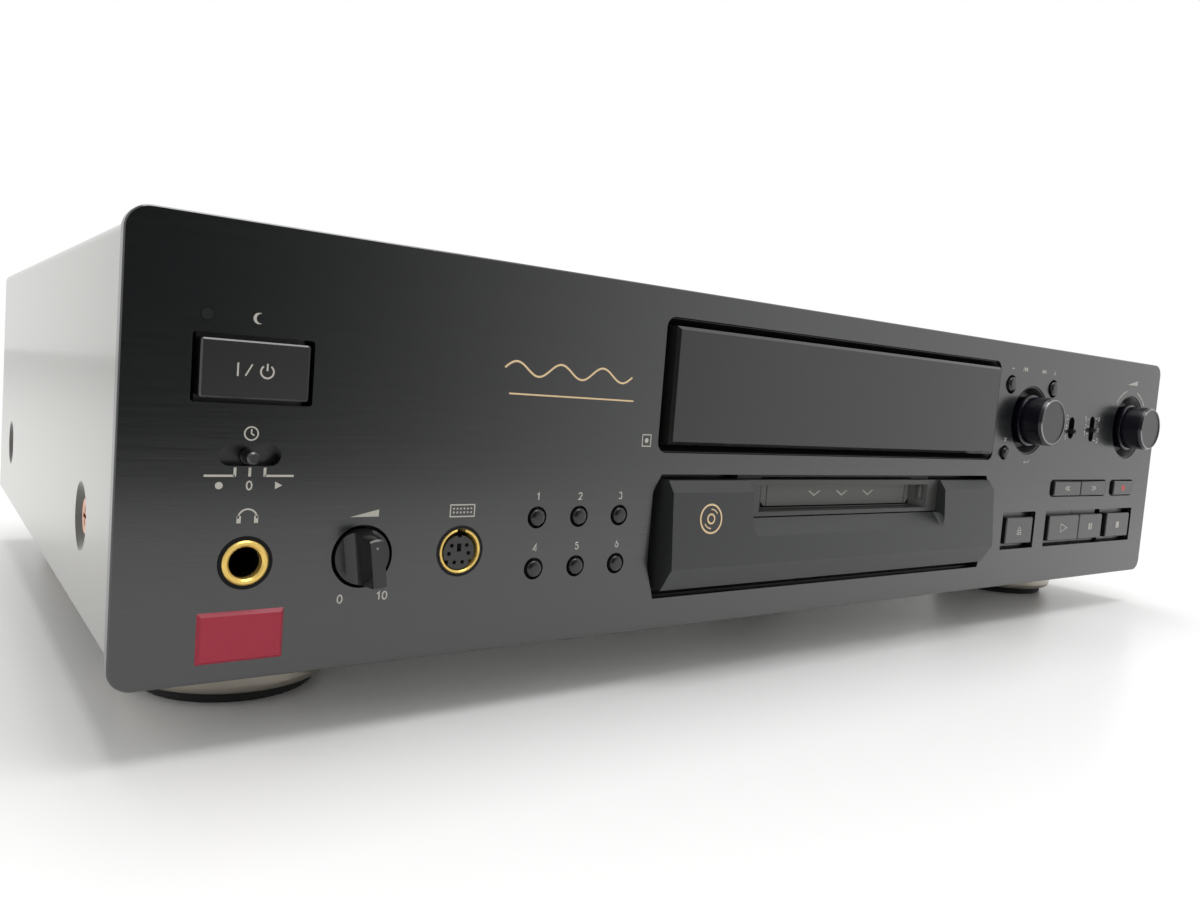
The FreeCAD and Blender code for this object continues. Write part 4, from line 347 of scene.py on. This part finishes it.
# Timer: a clock, the switch's ticks and three signs
marks.line(arc(-190, 51.5, 1.35, 1.35, 0, 360), THIN)
marks.line([(-190, 52.4), (-190, 51.5), (-189.4, 51.1)], THIN)
for x in (-192.9, -189.95, -186.9):
    marks.line([(x, 44.5), (x, 42.65)], 0.55)
marks.line([(-192.9, 42.8), (-198.9, 42.8)], 0.45)
marks.line([(-186.9, 42.8), (-180.9, 42.8)], 0.45)
marks.area(arc(-195.9, 40.8, 0.75, 0.75, 0, 360)[:-1])
number(marks, -189.95, 40.8, "0", 1.7, FIRM)
marks.area([(-184.7, 41.6), (-184.7, 40.0), (-183.2, 40.8)])

# Headphones: a headband with two cups
marks.line(arc(-189.95, 34.0, 1.9, 1.9, 0, 180), 0.35)
for side in (-1, 1):
    x = -189.95 + side * 1.75
    marks.area([(x - 0.42, 33.0), (x + 0.42, 33.0), (x + 0.42, 34.5), (x - 0.42, 34.5)])

# Headphone level: a wedge that grows, and the ends of the range
marks.area([(-168.0, 33.7), (-161.3, 33.7), (-161.3, 35.3)])
number(marks, -169.3, 15.5, "0", 1.75, FIRM)
number(marks, -159.5, 15.6, "10", 1.75, FIRM)

# Keyboard: a box of keys
marks.line([(-143.5, 33.2), (-137.1, 33.2), (-137.1, 36.0), (-143.5, 36.0), (-143.5, 33.2)], THIN)
for z in (35.1, 34.2):
    for key in range(6):
        x = -142.6 + key * 0.92
        marks.area([(x + a * 0.22, z + b * 0.2) for a, b in ((-1, -1), (1, -1), (1, 1), (-1, 1))])

# Small buttons: plain numbers
for digit, node_name in enumerate(("pitch_button", "filter_button", "time_button",
                                   "play_mode_button", "scroll_button", "display_button"), 1):
    x, z = middle(node_name)
    number(marks, x, z + 5.3, str(digit), 1.7, FIRM)

# The remote control's window: a frame with a dot
marks.line([(-87.2, 51.1), (-84.3, 51.1), (-84.3, 54.2), (-87.2, 54.2), (-87.2, 51.1)], THIN)
marks.area(arc(-85.75, 52.65, 0.65, 0.65, 0, 360)[:-1])

# Menu, yes and clear
MENU_X, MENU_Z = middle("menu_button")
YES_X, YES_Z = middle("yes_button")
CLEAR_X, CLEAR_Z = middle("clear_button")
marks.line([(MENU_X - 0.9, MENU_Z + 6.1), (MENU_X + 0.9, MENU_Z + 6.1)], FIRM)
marks.line([(YES_X - 0.9, YES_Z + 6.1), (YES_X + 0.9, YES_Z + 6.1)], FIRM)
marks.line([(YES_X, YES_Z + 5.2), (YES_X, YES_Z + 7.0)], FIRM)
for slope in (-1, 1):
    marks.line([(CLEAR_X - 0.7, CLEAR_Z + 5.0 - 0.7 * slope),
                (CLEAR_X + 0.7, CLEAR_Z + 5.0 + 0.7 * slope)], FIRM)

# Jog: skip signs each side of the knob's top, and a mark for pushing it
JOG_X = middle("jog_knob")[0]
for side in (-1, 1):
    x = JOG_X + side * 5.4
    for step in (0, 1):
        tip = x + side * (step * 1.3 + 1.3)
        marks.area([(tip - side * 1.3, 83.8), (tip - side * 1.3, 85.8), (tip, 84.8)])
    marks.line([(x + side * 2.9, 83.8), (x + side * 2.9, 85.8)], THIN)
marks.line([(109.3, 50.1), (109.3, 48.9), (106.3, 48.9)], THIN)
marks.area([(106.6, 48.2), (106.6, 49.6), (105.4, 48.9)])

# Slide switches: numbered places
MODE_X = middle("mode_slider")[0]
for step, z in enumerate((59.4, 63.6, 67.6)):
    number(marks, MODE_X - 4.0, z, str(step + 1), 1.8, FIRM)
INPUT_X = middle("input_slider")[0]
for side, places in ((-1, (61.5, 64.5, 67.6)), (1, (58.7, 63.0, 68.0))):
    for step, z in enumerate(places):
        marks.line([(INPUT_X + side * 2.6, z), (INPUT_X + side * 4.2, z)], FIRM)
        number(marks, INPUT_X + side * 5.6, z, str(step * 2 + (side + 3) // 2), 1.8, FIRM)

# Record level: a printed wedge that grows over the knob, and two light arcs beside its well, a
# painted glint on the well's edge
LEVEL_X, LEVEL_Z = middle("record_level_knob")
marks.area([(LEVEL_X - 4.5, 83.9), (LEVEL_X + 4.5, 83.9), (LEVEL_X + 4.5, 86.0)])
# Two light arcs where the well's edge catches the light: a painted glint, in the ink's colour
for start, end in ((142, 106), (72, 38)):
    marks.line(arc(LEVEL_X, LEVEL_Z, 16.3, 16.3, start, end, 20), 0.55)
marks.make()

golden = Print("gold_marks", gold_ink)
wave = [(-131.4 + 39 * i / 96, 69.2 + 1.7 * math.sin(math.tau * i / 32)) for i in range(97)]
golden.line(wave, BOLD)
golden.line([(-129.8, 63.0), (-91.4, 63.0)], 0.4)
golden.make()


def bezel_depth(z):
    """The depth of the bezel's sloped face at a height, from its brow down to its chin."""
    brow, brow_up, chin, chin_up = -4.3, 38.9, -6.0, 17.8
    return brow + (brow_up - z) / (brow_up - chin_up) * (chin - brow)


emblem = Print("disc_emblem", gold_ink, y=bezel_depth)
EMBLEM_X, EMBLEM_Z = -64.0, 31.5
emblem.line(arc(EMBLEM_X, EMBLEM_Z, 4.0, 4.0, 0, 360, 48), 0.55)
emblem.line(arc(EMBLEM_X, EMBLEM_Z, 1.3, 1.3, 0, 360, 30), BOLD)
for start in (30, 210):
    emblem.line(arc(EMBLEM_X, EMBLEM_Z, 2.7, 2.7, start, start + 60, 16), 0.35)
emblem.make()

shutter_marks = Print("shutter_marks", ink_and_glint, body="slot_shutter", y=front_of("slot_shutter"))
for x in (-12, 1.5, 15):
    shutter_marks.line([(x - 2.6, 38.0), (x, 36.5), (x + 2.6, 38.0)], 0.4)
shutter_marks.make()

blade = Print("phones_dot", dim_ink, body="phones_knob", y=front_of("phones_knob"))
DIAL_X, DIAL_Z = -164.65, 24.8
blade.area(arc(DIAL_X - 0.5, DIAL_Z + 3.5, 0.3, 0.3, 0, 360)[:-1])
blade.make()

# Fine upright ribs in the small recess at the mouth's right end
RIBS, RIB_PITCH, RIB_DEEP = 7, 0.4, 0.28


def recess_ribs(shape):
    left, front, rear, low, high = 39.78, 0.3, 1.5, 35.3, 39.9
    outline = []
    for i in range(RIBS):
        x = left + i * RIB_PITCH
        outline += [(x, front + RIB_DEEP), (x + RIB_PITCH * 0.25, front),
                    (x + RIB_PITCH * 0.6, front)]
    right = left + RIBS * RIB_PITCH
    outline += [(right, front + RIB_DEEP), (right, rear), (left, rear)]
    rings = [[shape.verts.new(deck(x, y, z)) for x, y in outline] for z in (low, high)]
    for i, corner in enumerate(rings[0]):
        after = (i + 1) % len(outline)
        shape.faces.new((corner, rings[0][after], rings[1][after], rings[1][i]))
    shape.faces.new(rings[0])
    shape.faces.new(rings[1])
    bmesh.ops.recalc_face_normals(shape, faces=shape.faces)


make_piece("recess_ribs", recess_ribs, shutter_plastic, "deck")

# Knobs: a dished satin face inside a bright ring painted as the glint on its edge, on a dark barrel
# with a skirt, and a bright ring painted as the highlight on the skirt's edge.
# The jog knob has a bore at its rear, and the level knob a shaft.
REACH, RADIUS, LAND, BEVEL, SKIRT, KNOB_BACK = 9.7, 9.2, 8.5, 1.25, 9.95, 3.0
KNOB_REARS = {
    "jog_knob": [(3.05, KNOB_BACK), (3.05, -5.0), (0, -5.0)],
    "record_level_knob": [(3.0, KNOB_BACK), (3.0, 14.0), (0, 14.0)],
}
for node_name, rear in KNOB_REARS.items():
    x, z = middle(node_name)
    barrel = make_piece(node_name + "_barrel", lathe(x, z, [
        (0, 0.33 - REACH), (7.6, 0.33 - REACH), (7.9, 0.03 - REACH), (LAND, 0.03 - REACH),
        (RADIUS - 0.02, BEVEL - REACH), (RADIUS, BEVEL - REACH), (RADIUS, -0.75),
        (9.5, -0.62), (SKIRT, -0.5), (SKIRT, 0.5), (RADIUS, 0.5), (RADIUS, KNOB_BACK),
    ] + rear), knob_metal, node_name, smooth=True)
    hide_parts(node_name)
    # A thin bright ring at the face's edge: a painted glint
    make_piece(node_name + "_painted_glint_ring", lathe(x, z, [
        (8.22, 0.02 - REACH), (8.28, -REACH), (8.46, -REACH), (LAND + 0.02, 0.05 - REACH),
        (LAND + 0.17, 0.3 - REACH), (LAND + 0.1, 0.45 - REACH), (8.22, 0.2 - REACH),
        (8.22, 0.02 - REACH),
    ]), knob_painted_glint, node_name, smooth=True)
    make_piece(node_name + "_face", lathe(x, z, [
        (0, 0.3 - REACH), (7.6, 0.3 - REACH), (7.9, 0.01 - REACH), (8.2, 0.01 - REACH),
        (8.2, 0.2 - REACH), (7.7, 0.5 - REACH), (0, 0.5 - REACH),
    ]), knob_satin, node_name, smooth=True)
    # A thin bright ring on the barrel just in front of the skirt: a painted highlight on the
    # skirt's edge
    make_piece(node_name + "_line", lathe(x, z, [
        (RADIUS - 0.1, -0.86), (RADIUS + 0.05, -0.84), (RADIUS + 0.05, -0.66),
        (RADIUS - 0.1, -0.64), (RADIUS - 0.1, -0.86),
    ]), knob_painted_glint, node_name, smooth=True)

# A black collar round the keyboard socket's shield
KEYBOARD_X, KEYBOARD_Z = middle("keyboard_socket")
make_piece("keyboard_collar", lathe(KEYBOARD_X, KEYBOARD_Z, [
    (5.5, -0.18), (5.55, -0.22), (5.98, -0.22), (6.04, -0.16), (6.04, 0.2), (5.5, 0.2),
    (5.5, -0.18),
]), collar_black, "deck", smooth=True)

# Round buttons: domed caps on their flanges and stems. Each has its radius, its hole's radius and
# how far it stands out of the plate.
SMALL_CAP, CLEAR_CAP, MENU_CAP = (2.15, 2.8, 1.0), (2.15, 2.8, 1.5), (2.8, 3.6, 1.25)
CAPS = {
    "pitch_button": SMALL_CAP, "filter_button": SMALL_CAP, "time_button": SMALL_CAP,
    "play_mode_button": SMALL_CAP, "scroll_button": SMALL_CAP, "display_button": SMALL_CAP,
    "clear_button": CLEAR_CAP, "menu_button": MENU_CAP, "yes_button": MENU_CAP,
}
DOME_STEPS, DOME_DEEP, DOME_FULL, DOME_ROUND, CAP_TURNS = 12, 0.9, 0.75, 1.4, 64
for node_name, (radius, hole, proud) in CAPS.items():
    x, z = middle(node_name)
    flange = hole + FLANGE_LAP
    dome = [(0, -proud)]
    for i in range(1, DOME_STEPS + 1):
        angle = i / DOME_STEPS * math.pi / 2
        dome.append((radius * math.sin(angle) ** DOME_FULL,
                     -proud + DOME_DEEP * (1 - math.cos(angle)) ** DOME_ROUND))
    cap = make_piece(node_name + "_cap", lathe(x, z, dome + [
        (radius, PLATE_THICK), (flange, PLATE_THICK), (flange, FLANGE_BACK),
        (STEM_RADIUS, FLANGE_BACK), (STEM_RADIUS, STEM_END), (0, STEM_END),
    ], CAP_TURNS), cap_gloss, node_name, smooth=True)
    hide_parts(node_name)


# Signs on the keys

def sign_print(name, node_name, look, draw):
    x, z = middle(node_name)
    sign = Print(name, look, body=node_name, slot="foot_metal", y=front_of(node_name))
    draw(sign, x, z)
    return sign.make()


def power_sign(sign, x, z):
    sign.line([(x - 3.7, z - 1.35), (x - 3.7, z + 1.35)], 0.36)
    sign.line([(x - 2.2, z - 1.2), (x - 0.9, z + 1.2)], 0.32)
    sign.line(arc(x + 2.1, z - 0.15, 1.3, 1.3, 125, 415, 30), 0.36)
    sign.line([(x + 2.1, z), (x + 2.1, z + 1.5)], 0.36)


def double_arrow(side):
    def draw(sign, x, z):
        for step in (0, 1):
            tip = x + side * (step * 1.8)
            sign.line([(tip - side * 1.5, z + 0.95), (tip, z), (tip - side * 1.5, z - 0.95)], 0.5)
    return draw


def record_sign(sign, x, z):
    sign.area(arc(x, z, 1.4, 1.4, 0, 360)[:-1])


def eject_sign(sign, x, z):
    sign.line([(x - 1.4, z - 0.1), (x + 1.4, z - 0.1), (x, z + 1.5), (x - 1.4, z - 0.1)], 0.3)
    sign.line([(x - 1.4, z - 1.5), (x + 1.4, z - 1.5), (x + 1.4, z - 0.8), (x - 1.4, z - 0.8),
               (x - 1.4, z - 1.5)], 0.3)


def play_sign(sign, x, z):
    sign.line([(x - 2.6, z - 1.75), (x - 2.6, z + 1.75), (x + 2.6, z), (x - 2.6, z - 1.75)], 0.34)


def pause_sign(sign, x, z):
    for side in (-0.9, 0.9):
        sign.area([(x + side - 0.55, z - 1.4), (x + side + 0.55, z - 1.4),
                   (x + side + 0.55, z + 1.4), (x + side - 0.55, z + 1.4)])


def stop_sign(sign, x, z):
    sign.area([(x - 1.4, z - 1.4), (x + 1.4, z - 1.4), (x + 1.4, z + 1.4), (x - 1.4, z + 1.4)])


sign_print("power_sign", "power_button", ink_and_glint, power_sign)
sign_print("rewind_sign", "rewind_button", ink_and_glint, double_arrow(-1))
sign_print("forward_sign", "forward_button", ink_and_glint, double_arrow(1))
sign_print("record_sign", "record_button", red_ink, record_sign)
sign_print("eject_sign", "eject_button", ink_and_glint, eject_sign)
sign_print("play_sign", "play_button", ink_and_glint, play_sign)
sign_print("pause_sign", "pause_button", ink_and_glint, pause_sign)
sign_print("stop_sign", "stop_button", ink_and_glint, stop_sign)

# Floor: it takes the deck's shadow, and turns as white as the background far from it

floor_look = new_material("floor", (0.985, 0.985, 0.98), 0.32, Specular_IOR_Level=0.35)

floor_tree = floor_look.node_tree
floor_place = floor_tree.nodes.new("ShaderNodeTexCoord")
floor_reach = floor_tree.nodes.new("ShaderNodeVectorMath")
floor_reach.operation = "LENGTH"
floor_far = floor_tree.nodes.new("ShaderNodeMapRange")
floor_far.interpolation_type = "SMOOTHSTEP"
floor_far.inputs["From Min"].default_value = 0.34
floor_far.inputs["From Max"].default_value = 0.52
floor_eye = floor_tree.nodes.new("ShaderNodeLightPath")
floor_share = floor_tree.nodes.new("ShaderNodeMath")
floor_share.operation = "MULTIPLY"
floor_white = floor_tree.nodes.new("ShaderNodeEmission")
floor_white.inputs["Color"].default_value = (1, 1, 1, 1)
floor_white.inputs["Strength"].default_value = 1.0
floor_mix = floor_tree.nodes.new("ShaderNodeMixShader")
floor_tree.links.new(floor_place.outputs["Object"], floor_reach.inputs[0])
floor_tree.links.new(floor_reach.outputs["Value"], floor_far.inputs["Value"])
floor_tree.links.new(floor_far.outputs["Result"], floor_share.inputs[0])
floor_tree.links.new(floor_eye.outputs["Is Camera Ray"], floor_share.inputs[1])
floor_tree.links.new(floor_share.outputs["Value"], floor_mix.inputs[0])
floor_tree.links.new(floor_tree.nodes["Principled BSDF"].outputs["BSDF"], floor_mix.inputs[1])
floor_tree.links.new(floor_white.outputs["Emission"], floor_mix.inputs[2])
floor_tree.links.new(floor_mix.outputs["Shader"],
                     floor_tree.nodes["Material Output"].inputs["Surface"])


def floor_mesh(shape):
    reach, front = 6.0, -0.5
    spots = [shape.verts.new((x, y, 0)) for x, y in
             ((-reach, front), (reach, front), (reach, reach), (-reach, reach))]
    shape.faces.new(spots)


floor_data = bpy.data.meshes.new("floor")
floor_shape = bmesh.new()
floor_mesh(floor_shape)
floor_shape.to_mesh(floor_data)
floor_shape.free()
floor_data.materials.append(floor_look)
floor = bpy.data.objects.new("floor", floor_data)
bpy.context.scene.collection.objects.link(floor)

# World: white where it is seen, white with a dark side at the front left where it is mirrored, and
# a plain soft light for the rest

world = bpy.data.worlds.new("studio")
bpy.context.scene.world = world
world.use_nodes = True
tree = world.node_tree
tree.nodes.clear()
out = tree.nodes.new("ShaderNodeOutputWorld")
seen = tree.nodes.new("ShaderNodeBackground")
seen.inputs["Color"].default_value = (1, 1, 1, 1)
seen.inputs["Strength"].default_value = 1.0
soft = tree.nodes.new("ShaderNodeBackground")
soft.inputs["Color"].default_value = (1, 1, 1, 1)
soft.inputs["Strength"].default_value = 0.66
dark = tree.nodes.new("ShaderNodeBackground")
dark.inputs["Color"].default_value = (1, 1, 1, 1)
dark.inputs["Strength"].default_value = 0.02
rays = tree.nodes.new("ShaderNodeLightPath")
where = tree.nodes.new("ShaderNodeTexCoord")
toward = tree.nodes.new("ShaderNodeVectorMath")
toward.operation = "DOT_PRODUCT"
toward.inputs[1].default_value = Vector((-0.3, -0.94, 0.12)).normalized()
fade = tree.nodes.new("ShaderNodeMapRange")
fade.interpolation_type = "SMOOTHSTEP"
fade.inputs["From Min"].default_value = 0.4
fade.inputs["From Max"].default_value = 0.9
tree.links.new(where.outputs["Generated"], toward.inputs[0])
tree.links.new(toward.outputs["Value"], fade.inputs["Value"])
mirrored = tree.nodes.new("ShaderNodeMixShader")
tree.links.new(fade.outputs["Result"], mirrored.inputs[0])
tree.links.new(seen.outputs[0], mirrored.inputs[1])
tree.links.new(dark.outputs[0], mirrored.inputs[2])
glossy = tree.nodes.new("ShaderNodeMixShader")
tree.links.new(rays.outputs["Is Glossy Ray"], glossy.inputs[0])
tree.links.new(soft.outputs[0], glossy.inputs[1])
tree.links.new(mirrored.outputs[0], glossy.inputs[2])
direct = tree.nodes.new("ShaderNodeMath")
direct.operation = "MAXIMUM"
tree.links.new(rays.outputs["Is Camera Ray"], direct.inputs[0])
tree.links.new(rays.outputs["Is Transmission Ray"], direct.inputs[1])
mix = tree.nodes.new("ShaderNodeMixShader")
tree.links.new(direct.outputs[0], mix.inputs[0])
tree.links.new(glossy.outputs[0], mix.inputs[1])
tree.links.new(seen.outputs[0], mix.inputs[2])
tree.links.new(mix.outputs[0], out.inputs["Surface"])


def area_light(name, place, target, wide, tall, power):
    """A soft rectangular lamp that looks at a point."""
    lamp_data = bpy.data.lights.new(name, "AREA")
    lamp_data.shape = "RECTANGLE"
    lamp_data.size = wide
    lamp_data.size_y = tall
    lamp_data.energy = power
    made = bpy.data.objects.new(name, lamp_data)
    made.location = place
    made.rotation_euler = (Vector(target) - Vector(place)).to_track_quat("-Z", "Y").to_euler()
    bpy.context.scene.collection.objects.link(made)
    return made


area_light("overhead", (0.1, -0.1, 1.9), (0.0, -0.1, 0.0), 1.6, 1.2, 23)

# Camera at the photograph's angle

camera_data = bpy.data.cameras.new("camera")
LENS, SENSOR = 28.23, 36.0
camera_data.lens = LENS
camera_data.sensor_width = SENSOR
camera = bpy.data.objects.new("camera", camera_data)
EYE = deck(-247.47, -195.93, 67.67)
RIGHT = Vector((0.80225, -0.59196, 0.07735))
UP = Vector((-0.01861, 0.10470, 0.99433))
AHEAD = Vector((0.59670, 0.79914, -0.07299))
turn = Matrix((RIGHT, UP, -AHEAD)).transposed().to_4x4()
camera.matrix_world = Matrix.Translation(EYE) @ turn
bpy.context.scene.collection.objects.link(camera)
bpy.context.scene.camera = camera
bpy.context.scene.view_settings.view_transform = "Standard"
